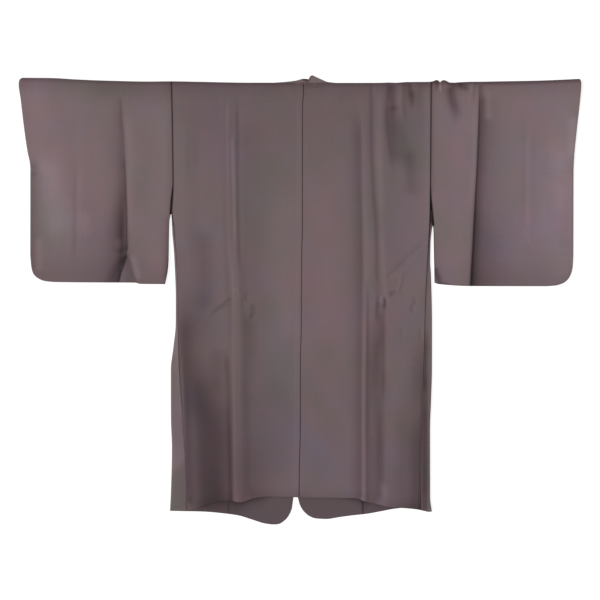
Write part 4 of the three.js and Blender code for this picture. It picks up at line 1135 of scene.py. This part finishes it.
def sleeve(half, word):
    tuck = half.tuck
    foot = lambda drop: tuck(drop) + half.side * TUCK_FOOT
    inner_width = abs(tuck(100.0) - half.back_edge(100.0))
    outer_width = abs(half.sleeve_outer(300.0) - tuck(300.0))
    shares = [
        graded(inner_width, GATHER_COLUMN_STEP, first=SEAM_STEPS, last=TUCK_STEPS)[:-1],
        np.array(TUCK_SIDE_SHARES),
        graded(outer_width, SLEEVE_COLUMN_STEP, first=TUCK_STEPS, last=OUTER_STEPS),
    ]
    rows = graded(SLEEVE_LENGTH, SLEEVE_ROW_STEP, last=OUTER_STEPS)
    inner = inner_edge(half, half.sleeve_edge)
    inner_under = inner_edge(half, half.sleeve_edge_under)
    across, count = columns_between([inner, tuck, foot, half.sleeve_outer], shares)
    under, _ = columns_between([inner_under, tuck, foot, half.sleeve_outer], shares)
    x, drop = leaf_places(across, count, half.sleeve_bottom, rows)
    low_x, low_drop = leaf_places(under, count, half.sleeve_bottom, rows)
    height, seam = upper_sleeve(half, x, drop, inner)
    low_height = UNDER_EDGE * (1 - eased(towards_closed(half, low_x, low_drop) / 2))
    # painted shade: the under leaf darkens towards its inner edge, where it shows in the shadowed slit
    low_shade = UNDER_SHADE * seam_shade(np.abs(low_x - inner_under(low_drop)), 0.6, 5)
    roll = roll_over(across, drop[0], height[0])
    upper = (x, drop, height, painted_shading_of(SLEEVE_PAINTED_SHADING, x, drop) * seam, tone_of(x, drop))
    over = (*roll, painted_shading_of(SLEEVE_PAINTED_SHADING, *roll[:2]) * seam[:1], tone_of(*roll[:2]))
    lower = (low_x, low_drop, low_height, low_shade, np.zeros_like(x))
    grid = [np.vstack((top[::-1], turned, low)) for top, turned, low in zip(upper, over, lower)]
    closing = closing_faces(half, grid[0].shape, drop)
    return sheet_of_cloth(f"sleeve_{word}_cloth", grid, extra_faces=closing, flip=half is LEFT)


sleeve_left = sleeve(LEFT, "left")
sleeve_right = sleeve(RIGHT, "right")

# %% [markdown]
# ## The gussets
# Between back and front a coat has a long narrow panel at each side, wider at the hem, which gives room to
# walk. Laid out, it folds lengthwise: half of it lies beside the back, half of it underneath.

# %% One gusset
GUSSET_ROW_STEP = 6
GUSSET_TOP_DROP = 300
GUSSET_HEM_DROP = 994
GUSSET_FOLD = 3.8
GUSSET_STEPS = 9
BEND_STEPS = 8
UNDER_STEPS = 6
GUSSET_HOLLOW = 0.5
HEM_SLANT_DROP = 900  # from here down its rows lean towards the hem's own slant


def gusset(half, word):
    length = GUSSET_HEM_DROP - GUSSET_TOP_DROP
    drop = GUSSET_TOP_DROP + length * graded(length, GUSSET_ROW_STEP, last=EDGE_STEPS)[:, None]
    side = half.side
    seam_x = half.back_edge(drop) + side * CURVED_SEAM_GAP
    seam_z = body_height(seam_x, drop)
    fold_z = np.minimum(seam_z, GUSSET_FOLD)
    radius = fold_z / 2
    width = np.abs(half.gusset_fold(drop) - seam_x)
    bend_run = np.minimum(radius, width * 0.7)
    bend_x = half.gusset_fold(drop) - side * bend_run
    under_x = half.front_edge(drop) + side * CURVED_SEAM_GAP
    under_x = side * np.minimum(side * under_x, side * bend_x - 0.6)
    shares = np.linspace(0, 1, GUSSET_STEPS)[None, :] ** 1.6
    upper_x = seam_x + (bend_x - seam_x) * shares
    upper_z = seam_z + (fold_z - seam_z) * eased(shares)
    hollow = GUSSET_HOLLOW * np.sin(np.pi * shares) * eased(np.abs(bend_x - seam_x) / 20)
    seam_depth = SEAM_DEPTH * half.seam_dip(drop)
    upper_z = dipped(upper_z - hollow, np.abs(upper_x - seam_x), seam_depth, SEAM_RUN)
    turns = np.pi * np.arange(1, BEND_STEPS)[None, :] / BEND_STEPS
    turn_x = bend_x + side * bend_run * np.sin(turns)
    turn_z = radius * (1 + np.cos(turns))
    under_shares = np.linspace(0, 1, UNDER_STEPS)[None, :]
    low_x = bend_x + (under_x - bend_x) * under_shares
    low_z = np.zeros_like(low_x)
    x = np.hstack((upper_x, turn_x, low_x))
    height = np.hstack((upper_z, turn_z, low_z))
    drops = np.repeat(drop, x.shape[1], axis=1)
    hem = half.gusset_hem(x)
    slanted = eased((drops - HEM_SLANT_DROP) / (GUSSET_HEM_DROP - HEM_SLANT_DROP))
    drops = drops + (hem - GUSSET_HEM_DROP) * slanted
    shade = painted_shading_of(GUSSET_PAINTED_SHADING, x, drops) * seam_shade(np.abs(x - seam_x), half.seam_painted_shade(drop))
    shade = shade * (1 - 0.85 * eased((GUSSET_SHOWS_DROP - 5 - drops) / 16))  # its top is in the dark
    grid = [part[::-1] for part in (x, drops, height, shade, tone_of(x, drops))]
    return sheet_of_cloth(f"gusset_{word}_cloth", grid, flip=half is LEFT)


gusset_left = gusset(LEFT, "left")
gusset_right = gusset(RIGHT, "right")

# %% [markdown]
# ## The facings
# Each front is turned back and faced with the same silk. A coat laid on its fronts shows its facings where
# the fronts reach below the back hem. The facing stops short of the front's own edge, which is rolled over.

# %% One facing
FACING_THICK = 0.6
FACING_BASE = 1.0  # underside of the facing, just above the front
FACING_STEP = 3.6


def facing(half, word):
    hem_x = half.opening(1026.0)
    far_x = hem_x + half.side * FACING_WIDTH
    far = lambda drop: np.full_like(drop, far_x)
    near = lambda drop: half.opening(drop) + half.side * FACING_INSET
    shares = graded(FACING_WIDTH - FACING_INSET, FACING_STEP, first=SEAM_STEPS, last=EDGE_STEPS)
    across, count = columns_between([far, near], [shares])
    hem = lambda x: half.front_hem(x) - FACING_INSET
    rows = graded(BODY_LENGTH, LOWER_ROW_STEP / 2, last=EDGE_STEPS)
    x, drop = leaf_places(across, count, hem, rows)
    height = FACING_BASE + FACING_THICK + front_height(x, drop, half.front_hem)
    height = dipped(height, np.abs(x - far_x), 0.5, 1.2)
    height = dipped(height, hem(x) - drop, 0.4, 1.0)
    height = dipped(height, np.abs(near(drop) - x), 0.4, 1.0)
    shade = 0.9 * hem_shadow(half, x, drop) * seam_shade(np.abs(x - far_x), 0.6, 2.2)
    grid = [part[::-1] for part in (x, drop, height, shade, np.zeros_like(x))]
    return sheet_of_cloth(f"facing_{word}_cloth", grid, flip=half is RIGHT, thick=FACING_THICK)


facing_left = facing(LEFT, "left")
facing_right = facing(RIGHT, "right")

# %% [markdown]
# ## The collar
# The collar is a long doubled band. It follows both edges of the neckline under the coat, and at the back of
# the neck it comes up over the shoulder line, where its two halves overlap in a small peak. Each half is
# made like a flattened tube: a ring of points at each station along the band, between its outer and inner
# edges.

# %% One half of the collar band
BAND_THICK = 2.0
BAND_WIDTH = 50
BAND_TOP_DROP = 17
BAND_END_DROP = 396
BAND_STATIONS = 46
RING = 22
NECK_HOLE_DROP = 46
UNDER_LIFT = 0.4
OVERLAP_LIFT = 2.2


def band_half(half, other, peek, lift):
    """One half of the band, from its lower end up the neckline and along the back of the neck."""
    downs = np.linspace(BAND_END_DROP, BAND_TOP_DROP, BAND_STATIONS)
    outer_x = half.opening(downs) - half.side * CURVED_SEAM_GAP
    free = half.opening(downs) - half.side * BAND_WIDTH
    middle = (half.opening(downs) + other.opening(downs)) / 2 + half.side * 0.6
    inner_x = np.minimum(free, middle) if half.side < 0 else np.maximum(free, middle)
    inner_drop = np.interp(downs, (BAND_TOP_DROP, BAND_END_DROP), (NECK_HOLE_DROP, BAND_END_DROP))
    neck_x = np.linspace(peek[0][0], peek[-1][0], BAND_STATIONS)
    neck_drop = smooth_curve(sorted(peek))(neck_x)
    neck_inner = np.linspace(inner_x[-1], peek[-1][0], BAND_STATIONS)
    outer = np.vstack((np.column_stack((outer_x, downs)), np.column_stack((neck_x, neck_drop))))
    inner = np.vstack((
        np.column_stack((inner_x, inner_drop)),
        np.column_stack((neck_inner, np.full(BAND_STATIONS, NECK_HOLE_DROP))),
    ))
    turns = 2 * np.pi * np.arange(RING) / RING
    across = 0.5 + 0.5 * np.sign(np.cos(turns)) * np.abs(np.cos(turns)) ** 0.35
    up = 0.5 + 0.5 * np.sign(np.sin(turns)) * np.abs(np.sin(turns)) ** 0.6
    raised = np.concatenate((np.zeros(BAND_STATIONS), lift * eased(np.linspace(-0.6, 1.5, BAND_STATIONS))))
    points = []
    for out, into, more in zip(outer, inner, raised):
        thick = BAND_THICK + more * across
        spot = into[None, :] + (out - into)[None, :] * across[:, None]
        points += [(px, SHOULDER_Y - pd, z) for (px, pd), z in zip(spot, up * thick)]
    stations = len(outer)
    faces = [
        (k * RING + i, k * RING + (i + 1) % RING, (k + 1) * RING + (i + 1) % RING, (k + 1) * RING + i)
        for k in range(stations - 1) for i in range(RING)
    ]
    caps = [tuple(range(RING)), tuple((stations - 1) * RING + i for i in range(RING))[::-1]]
    return points, faces, caps


# %% [markdown]
# Only the band's upper edge shows, where it peeks over the shoulder line. The left half ends under the right
# one. Both halves are joined in one mesh here, and its faces are turned outwards.

# %% Both halves of the collar
LEFT_PEEK = [
    (-79.5, 4), (-60, 2.6), (-35, 0.8), (-12.5, -1.8), (-5, -3.2), (0, -4.8), (7, -6.4), (17, -5.8), (25, -3),
]
RIGHT_PEEK = [(93.5, 4), (65, 1), (48, -5.5), (36, -11), (28, -14.3), (24, -12.5), (19.5, -4)]
# Painted light and shade on the collar: a dark rim, a dark notch where the left half goes under the right
# one, and a lighter upper side.
COLLAR_PAINTED_SHADING = [
    Crease([(-70, 0.5), (-35, -2), (0, -6.6), (15, -6)], -0.34, 2.6, 2.6, 0, 0),  # the left half's rim
    Crease([(10, -3.6), (18, -3.6)], -0.7, 2.6, 2.6, 0, 0),  # where it goes under the right half
    Crease([(-12, -0.6), (5, -1.4)], 0.1, 4, 4, 0, 0),
    Crease([(30, -8), (62, 1)], 0.2, 5, 5, 0, 0),  # the right half's upper side
    Crease([(20, -3), (21.4, -9), (27, -14.5)], -0.4, 2.2, 2.2, 0, 0),  # and its turned end
    Crease([(36, -12), (65, 0.5)], -0.2, 1.6, 1.6, 0, 0),
]


def collar():
    """The collar: its two halves as closed tubes in one mesh, with their faces turned outwards."""
    mesh = bpy.data.meshes.new("collar_band")
    shell = bmesh.new()
    under, over = (LEFT, RIGHT, LEFT_PEEK, UNDER_LIFT), (RIGHT, LEFT, RIGHT_PEEK, OVERLAP_LIFT)
    for half, other, peek, lift in (under, over):
        points, faces, caps = band_half(half, other, peek, lift)
        made = [shell.verts.new([value * MM for value in point]) for point in points]
        for corners in (*faces, *caps):
            shell.faces.new([made[i] for i in corners])
    bmesh.ops.recalc_face_normals(shell, faces=shell.faces)
    shell.to_mesh(mesh)
    shell.free()
    places = np.array([tuple(point.co) for point in mesh.vertices]) / MM
    shade = painted_shading_of(COLLAR_PAINTED_SHADING, places[:, 0], SHOULDER_Y - places[:, 1])
    for title, values in (("shade", shade), ("tone", np.full(len(shade), -0.3)), ("bloom", 0 * shade)):
        layer = mesh.attributes.new(title, "FLOAT", "POINT")
        layer.data.foreach_set("value", values.astype(np.float32))
    piece = bpy.data.objects.new("collar_band", mesh)
    bpy.context.collection.objects.link(piece)
    bpy.ops.object.select_all(action="DESELECT")
    piece.select_set(True)
    bpy.context.view_layer.objects.active = piece
    bpy.ops.object.shade_smooth_by_angle(angle=math.radians(50))
    piece.select_set(False)
    return piece


collar_band = collar()
print("collar:", len(collar_band.data.polygons), "faces")

# %% [markdown]
# ## The hand stitches
# A kimono is sewn by hand with a single silk thread, and hardly a stitch shows. What does show is on the
# inside: the blind stitches along each facing, one every finger's width, and the bars that keep the slits
# from tearing at the armhole and at the cuff opening. Two ends of pale basting thread were left in, one at
# the neck and one at the left sleeve's corner. A stitch is a small rounded bar, so each is a stretched
# sphere.

# %% A stitch
STITCH_SPACING = 9
STITCH_THICK = 0.35
STITCH_LENGTH = 1.3
BAR_STITCHES = 3
BAR_SPACING = 0.6


def stitch(x, drop, height, length, turn, shade=0.7, thick=STITCH_THICK):
    """One stitch of thread, turned by so many degrees from the sideways direction."""
    spot = (x * MM, (SHOULDER_Y - drop) * MM, height * MM)
    turned = (0, 0, math.radians(turn))
    bpy.ops.mesh.primitive_uv_sphere_add(segments=8, ring_count=6, location=spot, rotation=turned)
    made = bpy.context.active_object
    made.scale = (length / 2 * MM, thick / 2 * MM, thick / 2 * MM)
    bpy.ops.object.transform_apply(location=True, rotation=True, scale=True)
    bpy.ops.object.shade_smooth()
    for title, value in (("shade", shade), ("tone", 0.2), ("bloom", 0.0)):
        layer = made.data.attributes.new(title, "FLOAT", "POINT")
        layer.data.foreach_set("value", np.full(len(made.data.vertices), value, dtype=np.float32))
    return made


# %% [markdown]
# No two stitches of a hand are quite alike, so each is moved and turned a little by chance, from a fixed
# seed. They are made one by one and joined into one piece, as one thread is.

# %% All the stitches
bpy.ops.object.select_all(action="DESELECT")
hand = np.random.default_rng(5)


def facing_stitches(half):
    """The blind stitches along a facing's hem and along its far edge."""
    far_x = half.opening(1026.0) + half.side * FACING_WIDTH
    near_x = half.opening(1026.0) + half.side * FACING_INSET
    made = []
    for x in np.arange(min(far_x, near_x) + 4, max(far_x, near_x) - 2, STITCH_SPACING):
        x = x + hand.uniform(-0.6, 0.6)
        drop = half.front_hem(x) - FACING_INSET
        height = FACING_BASE + 0.45 + front_height(x, drop, half.front_hem)
        made.append(stitch(x, drop, height, STITCH_LENGTH, 90 + hand.uniform(-20, 20)))
    for drop in np.arange(half.back_hem(far_x) + 3, half.front_hem(far_x) - 5, STITCH_SPACING):
        height = FACING_BASE + 0.45 + front_height(far_x, drop, half.front_hem)
        made.append(stitch(far_x, drop, height, STITCH_LENGTH, hand.uniform(-20, 20)))
    return made


def bars(half):
    """The bars of thread at the armhole's end and at the end of the cuff opening."""
    made = []
    for k in range(BAR_STITCHES):
        end = half.slit_drop - 3 + k * BAR_SPACING
        made.append(stitch(half.back_edge(end) + half.side * 1.5, end, 3.6, 3.4, 4 * k - 4, 0.4))
        outer = CUFF_OPENING_DROP + 1 + k * BAR_SPACING
        made.append(stitch(half.sleeve_outer(outer) - half.side * 1.3, outer, 2.55, 2.6, 5 * k - 5))
    return made


stitches = []
for half in (LEFT, RIGHT):
    stitches += facing_stitches(half) + bars(half)
for x, drop, length, turn in ((36, 4.5, 5, 60), (33, 8.5, 5, 50), (30.2, 12.5, 4.6, 64), (29, 16.4, 4, 86)):
    stitches.append(stitch(x, drop, body_height(x, drop) * 0.96, length, turn, 2.0, 0.6))
for x, drop, length, turn in ((-316.5, 464, 3.8, 20), (-314, 465.5, 3, -40), (-318, 463, 2.6, 70)):
    stitches.append(stitch(x, drop, sleeve_height(LEFT, x, drop) + 0.1, length, turn, 2.4, 0.8))
for made in stitches:
    made.select_set(True)
bpy.context.view_layer.objects.active = stitches[0]
bpy.ops.object.join()
hand_stitches = bpy.context.active_object
hand_stitches.name = "hand_stitches"
hand_stitches.select_set(False)
print("stitches:", len(stitches), "faces:", len(hand_stitches.data.polygons))

# %% [markdown]
# ## Finishes
# Two effects serve every silk here, so each is a node group with named inputs. The first is the weave:
# crepe threads twist tightly and stand a little uneven, so its height is two sets of threads crossed and
# broken up by a fine noise. The second is the colour, from rose to grey green, in drifting patches.

# %% Helpers for shader nodes
def group_with(name, inputs, outputs):
    """An empty node group with number, colour and vector sockets, and its two end nodes."""
    group = bpy.data.node_groups.new(name, "ShaderNodeTree")
    kinds = {"value": "NodeSocketFloat", "colour": "NodeSocketColor", "vector": "NodeSocketVector"}
    for title, kind, start in inputs:
        socket = group.interface.new_socket(title, in_out="INPUT", socket_type=kinds[kind])
        if start is not None:
            socket.default_value = start
    for title, kind in outputs:
        group.interface.new_socket(title, in_out="OUTPUT", socket_type=kinds[kind])
    return group, group.nodes.new("NodeGroupInput"), group.nodes.new("NodeGroupOutput")


def math_node(tree, operation, first, second=None):
    """A Math node, with a number or another node's socket on each input. It returns its own socket."""
    node = tree.nodes.new("ShaderNodeMath")
    node.operation = operation
    for slot_index, value in enumerate((first, second)):
        if value is None:
            continue
        if isinstance(value, (int, float)):
            node.inputs[slot_index].default_value = value
        else:
            tree.links.new(value, node.inputs[slot_index])
    return node.outputs[0]


def noise_node(tree, vector, scale, detail=2.0, roughness=0.5):
    """A Noise Texture on the given coordinates. It returns its value socket."""
    node = tree.nodes.new("ShaderNodeTexNoise")
    node.inputs["Scale"].default_value = scale
    node.inputs["Detail"].default_value = detail
    node.inputs["Roughness"].default_value = roughness
    tree.links.new(vector, node.inputs["Vector"])
    return node.outputs[0]


def stretched(tree, vector, factors):
    """The coordinates multiplied along x, y and z, which draws a noise out into streaks."""
    node = tree.nodes.new("ShaderNodeVectorMath")
    node.operation = "MULTIPLY"
    node.inputs[1].default_value = factors
    tree.links.new(vector, node.inputs[0])
    return node.outputs[0]


# %% [markdown]
# Crepe threads are twisted hard, so the cloth's face is pebbly rather than ribbed: the crossed threads give
# only a little of the height here, and the fine noise gives most of it.

# %% The weave's height
def weave_group():
    group, given, out = group_with(
        "crepe weave",
        [("Place", "vector", None), ("Threads per metre", "value", 1700.0)],
        [("Height", "value")],
    )
    parts = group.nodes.new("ShaderNodeSeparateXYZ")
    group.links.new(given.outputs["Place"], parts.inputs[0])
    turns = math_node(group, "MULTIPLY", given.outputs["Threads per metre"], 2 * math.pi)
    warp = math_node(group, "SINE", math_node(group, "MULTIPLY", parts.outputs["X"], turns))
    weft = math_node(group, "SINE", math_node(group, "MULTIPLY", parts.outputs["Y"], turns))
    crossed = math_node(group, "MULTIPLY", warp, weft)
    twist = noise_node(group, given.outputs["Place"], 900.0, 2.0, 0.6)
    slub = noise_node(group, stretched(group, given.outputs["Place"], (60.0, 1500.0, 60.0)), 1.0, 1.0)
    rough = math_node(group, "ADD", twist, math_node(group, "MULTIPLY", slub, 0.5))
    uneven = math_node(group, "MULTIPLY_ADD", crossed, 0.22)
    group.links.new(rough, uneven.node.inputs[2])
    group.links.new(uneven, out.inputs["Height"])
    return group


WEAVE = weave_group()
print(WEAVE.name, "nodes:", len(WEAVE.nodes))

# %% [markdown]
# The colour group mixes rose and grey green by the tone on the points plus a drifting noise, then adds a
# cooler haze here and there and the bloom. The shade painted on the points tints the silk redder as well as
# darkening it. Faint streaks along warp and weft come last.

# %% The shot silk's colour
PAINTED_SHADE_TINT = (1.05, 0.80, 0.885, 1.0)  # what the painted shade multiplies the colour by, where it is darkest
BLOOM_TINT = (0.99, 0.995, 1.13, 1.0)  # what the bloom multiplies it by


def mix_node(tree, share, first, second, blend="MIX"):
    """A colour Mix node, with colours or sockets on both inputs. It returns its colour socket."""
    node = tree.nodes.new("ShaderNodeMix")
    node.data_type = "RGBA"
    node.blend_type = blend
    node.clamp_factor = True
    for socket, value in ((node.inputs[0], share), (node.inputs[6], first), (node.inputs[7], second)):
        if isinstance(value, (int, float, tuple)):
            socket.default_value = value
        else:
            tree.links.new(value, socket)
    return node.outputs[2]


def dyed_silk(group, given, place, small):
    """The silk's colour: the mix of its two threads, the haze over it, its bloom and the redder tint of the
    painted shade.
    """
    broad = noise_node(group, place, 7.0, 3.0, 0.55)
    lean = math_node(group, "MULTIPLY", math_node(group, "SUBTRACT", broad, 0.5), 1.3)
    finer = math_node(group, "MULTIPLY", math_node(group, "SUBTRACT", small, 0.5), 0.6)
    lean = math_node(group, "MULTIPLY", math_node(group, "ADD", lean, finer), given.outputs["Drift"])
    lean = math_node(group, "ADD", lean, math_node(group, "MULTIPLY", given.outputs["Tone"], 0.5))
    share = math_node(group, "ADD", lean, 0.5)
    share.node.use_clamp = True
    silk = mix_node(group, share, given.outputs["Grey green"], given.outputs["Rose"])
    misty = noise_node(group, place, 11.0, 2.0, 0.5)
    haze_share = math_node(group, "MULTIPLY", math_node(group, "SUBTRACT", misty, 0.47), 2.4)
    haze_share.node.use_clamp = True
    silk = mix_node(group, haze_share, silk, given.outputs["Haze"])
    silk = mix_node(group, given.outputs["Bloom"], silk, BLOOM_TINT, "MULTIPLY")
    # painted shade: the darker the points' shade, the more the colour is tinted redder
    depth = math_node(group, "SUBTRACT", 1.0, given.outputs["Shade"])
    depth.node.use_clamp = True
    return mix_node(group, depth, silk, PAINTED_SHADE_TINT, "MULTIPLY")


def thread_streaks(group, place):
    """How light the single threads are: faint streaks along warp and weft, and the fibres between."""
    warp = noise_node(group, stretched(group, place, (420.0, 7.0, 1.0)), 1.0, 2.0)
    weft = noise_node(group, stretched(group, place, (6.0, 380.0, 1.0)), 1.0, 2.0)
    fibre = noise_node(group, place, 520.0, 1.0)
    along = math_node(group, "MULTIPLY", warp, 0.10)
    across = math_node(group, "MULTIPLY", weft, 0.10)
    between = math_node(group, "MULTIPLY", fibre, 0.08)
    streaks = math_node(group, "ADD", math_node(group, "ADD", along, across), between)
    return math_node(group, "ADD", streaks, 0.86)


def colour_group():
    group, given, out = group_with(
        "shot silk colour",
        [
            ("Place", "vector", None), ("Rose", "colour", None), ("Grey green", "colour", None),
            ("Haze", "colour", None), ("Tone", "value", 0.0), ("Bloom", "value", 0.0),
            ("Shade", "value", 1.0), ("Drift", "value", 1.0), ("Lightness", "value", 1.0),
        ],
        [("Color", "colour"), ("Roughness", "value")],
    )
    place = given.outputs["Place"]
    small = noise_node(group, stretched(group, place, (1.0, 0.6, 1.0)), 26.0, 3.0, 0.5)
    # painted light and shade: the points' shade scales the colour
    light = math_node(group, "MULTIPLY", thread_streaks(group, place), given.outputs["Shade"])
    light = math_node(group, "MULTIPLY", light, given.outputs["Lightness"])
    lit = group.nodes.new("ShaderNodeVectorMath")
    lit.operation = "SCALE"
    group.links.new(dyed_silk(group, given, place, small), lit.inputs[0])
    group.links.new(light, lit.inputs["Scale"])
    group.links.new(lit.outputs[0], out.inputs["Color"])
    roughness = math_node(group, "ADD", math_node(group, "MULTIPLY", small, 0.16), 0.5)
    group.links.new(roughness, out.inputs["Roughness"])
    return group


COLOUR = colour_group()
print(COLOUR.name, "nodes:", len(COLOUR.nodes))

# %% [markdown]
# Each silk is a Principled BSDF. Silk crepe is matte but not chalky: a broad soft highlight and a little
# sheen at glancing angles. Sleeves, body and inside each get their own lightness: the sleeves lightest, and
# the inside darkest, which is painted shade for the shadow it lies in under the back.

# %% The silks
ROSE = (0.170, 0.106, 0.119, 1.0)
GREY_GREEN = (0.127, 0.108, 0.099, 1.0)
HAZE = (0.142, 0.111, 0.131, 1.0)


def silk(name, lightness, drift=1.0, shift=(0.0, 0.0, 0.0), bump=0.35):
    material = bpy.data.materials.new(name)
    material.use_nodes = True
    tree = material.node_tree
    shader = tree.nodes["Principled BSDF"]
    place = tree.nodes.new("ShaderNodeTexCoord").outputs["Object"]
    moved = tree.nodes.new("ShaderNodeMapping")
    moved.inputs["Location"].default_value = shift
    tree.links.new(place, moved.inputs["Vector"])
    colour = tree.nodes.new("ShaderNodeGroup")
    colour.node_tree = COLOUR
    colour.inputs["Rose"].default_value = ROSE
    colour.inputs["Grey green"].default_value = GREY_GREEN
    colour.inputs["Haze"].default_value = HAZE
    colour.inputs["Drift"].default_value = drift
    colour.inputs["Lightness"].default_value = lightness
    tree.links.new(moved.outputs[0], colour.inputs["Place"])
    for title in ("Shade", "Tone", "Bloom"):
        kept = tree.nodes.new("ShaderNodeAttribute")
        kept.attribute_name = title.lower()
        tree.links.new(kept.outputs["Fac"], colour.inputs[title])
    weave = tree.nodes.new("ShaderNodeGroup")
    weave.node_tree = WEAVE
    tree.links.new(place, weave.inputs["Place"])
    raised = tree.nodes.new("ShaderNodeBump")
    raised.inputs["Strength"].default_value = bump
    raised.inputs["Distance"].default_value = 0.0002
    tree.links.new(weave.outputs["Height"], raised.inputs["Height"])
    tree.links.new(colour.outputs["Color"], shader.inputs["Base Color"])
    tree.links.new(colour.outputs["Roughness"], shader.inputs["Roughness"])
    tree.links.new(raised.outputs["Normal"], shader.inputs["Normal"])
    shader.inputs["Specular IOR Level"].default_value = 0.18
    shader.inputs["Sheen Weight"].default_value = 0.05
    shader.inputs["Sheen Roughness"].default_value = 0.45
    shader.inputs["Sheen Tint"].default_value = (0.9, 0.82, 0.86, 1.0)
    return material


BODY_SILK = silk("body silk", 0.92)
SLEEVE_SILK = silk("sleeve silk", 1.08, shift=(0.31, 0.17, 0.0))
GUSSET_SILK = silk("gusset silk", 0.95, shift=(0.12, 0.4, 0.0))
# painted shade: the inside's low lightness stands for the shadow it lies in under the back
INSIDE_SILK = silk("inside silk", 0.65, drift=0.7, shift=(0.23, 0.05, 0.0))
COLLAR_SILK = silk("collar silk", 0.9, shift=(0.5, 0.21, 0.0))
THREAD_SILK = silk("silk thread", 1.0, drift=0.3, bump=0.1)
print("silks:", [material.name for material in bpy.data.materials if "silk" in material.name])

# %% [markdown]
# ## Riding and replacing
# Every piece rides on the coat's one body, stands for its solid and takes its silk. The table also lists
# each piece's slot in the record and the size that it was cut to, with its area. The cut sizes are the loom
# width and the lengths that the guide lines give.

CUT_PIECES = [
    (body_left, "body_left", BODY_SILK, "coat_cloth", (0.304, 1.99), 0.555),
    (body_right, "body_right", BODY_SILK, "coat_cloth", (0.304, 1.98), 0.56),
    (sleeve_left, "sleeve_left", SLEEVE_SILK, "coat_cloth", (0.358, 0.95), 0.325),
    (sleeve_right, "sleeve_right", SLEEVE_SILK, "coat_cloth", (0.349, 0.964), 0.325),
    (gusset_left, "gusset_left", GUSSET_SILK, "coat_cloth", (0.066, 0.70), 0.024),
    (gusset_right, "gusset_right", GUSSET_SILK, "coat_cloth", (0.07, 0.70), 0.031),
    (facing_left, "facing_left", INSIDE_SILK, "inside_cloth", (0.151, 1.01), 0.138),
    (facing_right, "facing_right", INSIDE_SILK, "inside_cloth", (0.151, 1.0), 0.128),
    (collar_band, "collar", COLLAR_SILK, "coat_cloth", (0.05, 1.0), 0.04),
]
for piece, node, material, slot, flat, area in CUT_PIECES:
    piece.data.materials.append(material)
    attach(piece, "root")
    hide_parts(node)
hand_stitches.data.materials.append(THREAD_SILK)
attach(hand_stitches, "root")
print("sheets declared:", len(CUT_PIECES))

# %% [markdown]
# ## Floor, light and camera
# The floor is a plain sheet of paper, nearly white, just below the coat. It glows a little of its own, so
# that the background stays even and the coat's outline is clear.

# %% The floor
bpy.ops.mesh.primitive_plane_add(size=60, location=(0, 0, -0.0006))
floor = bpy.context.active_object
floor.name = "floor"
paper = bpy.data.materials.new("floor paper")
paper.use_nodes = True
paper_shader = paper.node_tree.nodes["Principled BSDF"]
paper_shader.inputs["Base Color"].default_value = (0.4, 0.4, 0.4, 1)
paper_shader.inputs["Roughness"].default_value = 0.9
paper_shader.inputs["Emission Color"].default_value = (1, 1, 1, 1)
paper_shader.inputs["Emission Strength"].default_value = 0.66
floor.data.materials.append(paper)
print("floor:", round(floor.dimensions.x), "m wide")

# %% [markdown]
# A broad pale sky fills every hollow. A low sun from the viewer's left draws the creases out, and a weaker
# one from straight above, as on a copy stand, keeps their dark sides soft. Both are wide, so that no shadow
# has a hard edge.

# %% The lights
world = bpy.context.scene.world or bpy.data.worlds.new("studio")
bpy.context.scene.world = world
world.use_nodes = True
world.node_tree.nodes["Background"].inputs["Color"].default_value = (1, 1, 1, 1)
world.node_tree.nodes["Background"].inputs["Strength"].default_value = 0.36


def sun(name, towards, strength, spread):
    """A soft sun that shines from the given direction."""
    bpy.ops.object.light_add(type="SUN", location=towards)
    lamp = bpy.context.active_object
    lamp.name = name
    lamp.data.energy = strength
    lamp.data.angle = math.radians(spread)
    reach = math.hypot(towards[0], towards[1])
    lamp.rotation_euler = (0, math.atan2(reach, towards[2]), math.atan2(towards[1], towards[0]))
    return lamp


left_sun = sun("low sun from the left", (-2.4, -0.3, 1.9), 2.0, 22)
upper_sun = sun("sun from above", (0.1, 0.1, 3.0), 0.95, 40)
print("lights:", left_sun.name, "and", upper_sun.name)

# %% [markdown]
# The camera looks straight down through a long lens, so that the outline stays true.

# %% The camera
FRAME_WIDTH = 1.392  # metres of floor across the frame
LENS = 100
SENSOR = 36
CAMERA_HEIGHT = FRAME_WIDTH * LENS / SENSOR
bpy.ops.object.camera_add(location=(0, 0, CAMERA_HEIGHT), rotation=(0, 0, 0))
camera = bpy.context.active_object
camera.data.lens = LENS
camera.data.sensor_width = SENSOR
bpy.context.scene.camera = camera
bpy.context.scene.view_settings.view_transform = "Standard"
print("camera:", round(CAMERA_HEIGHT, 2), "m above the floor")
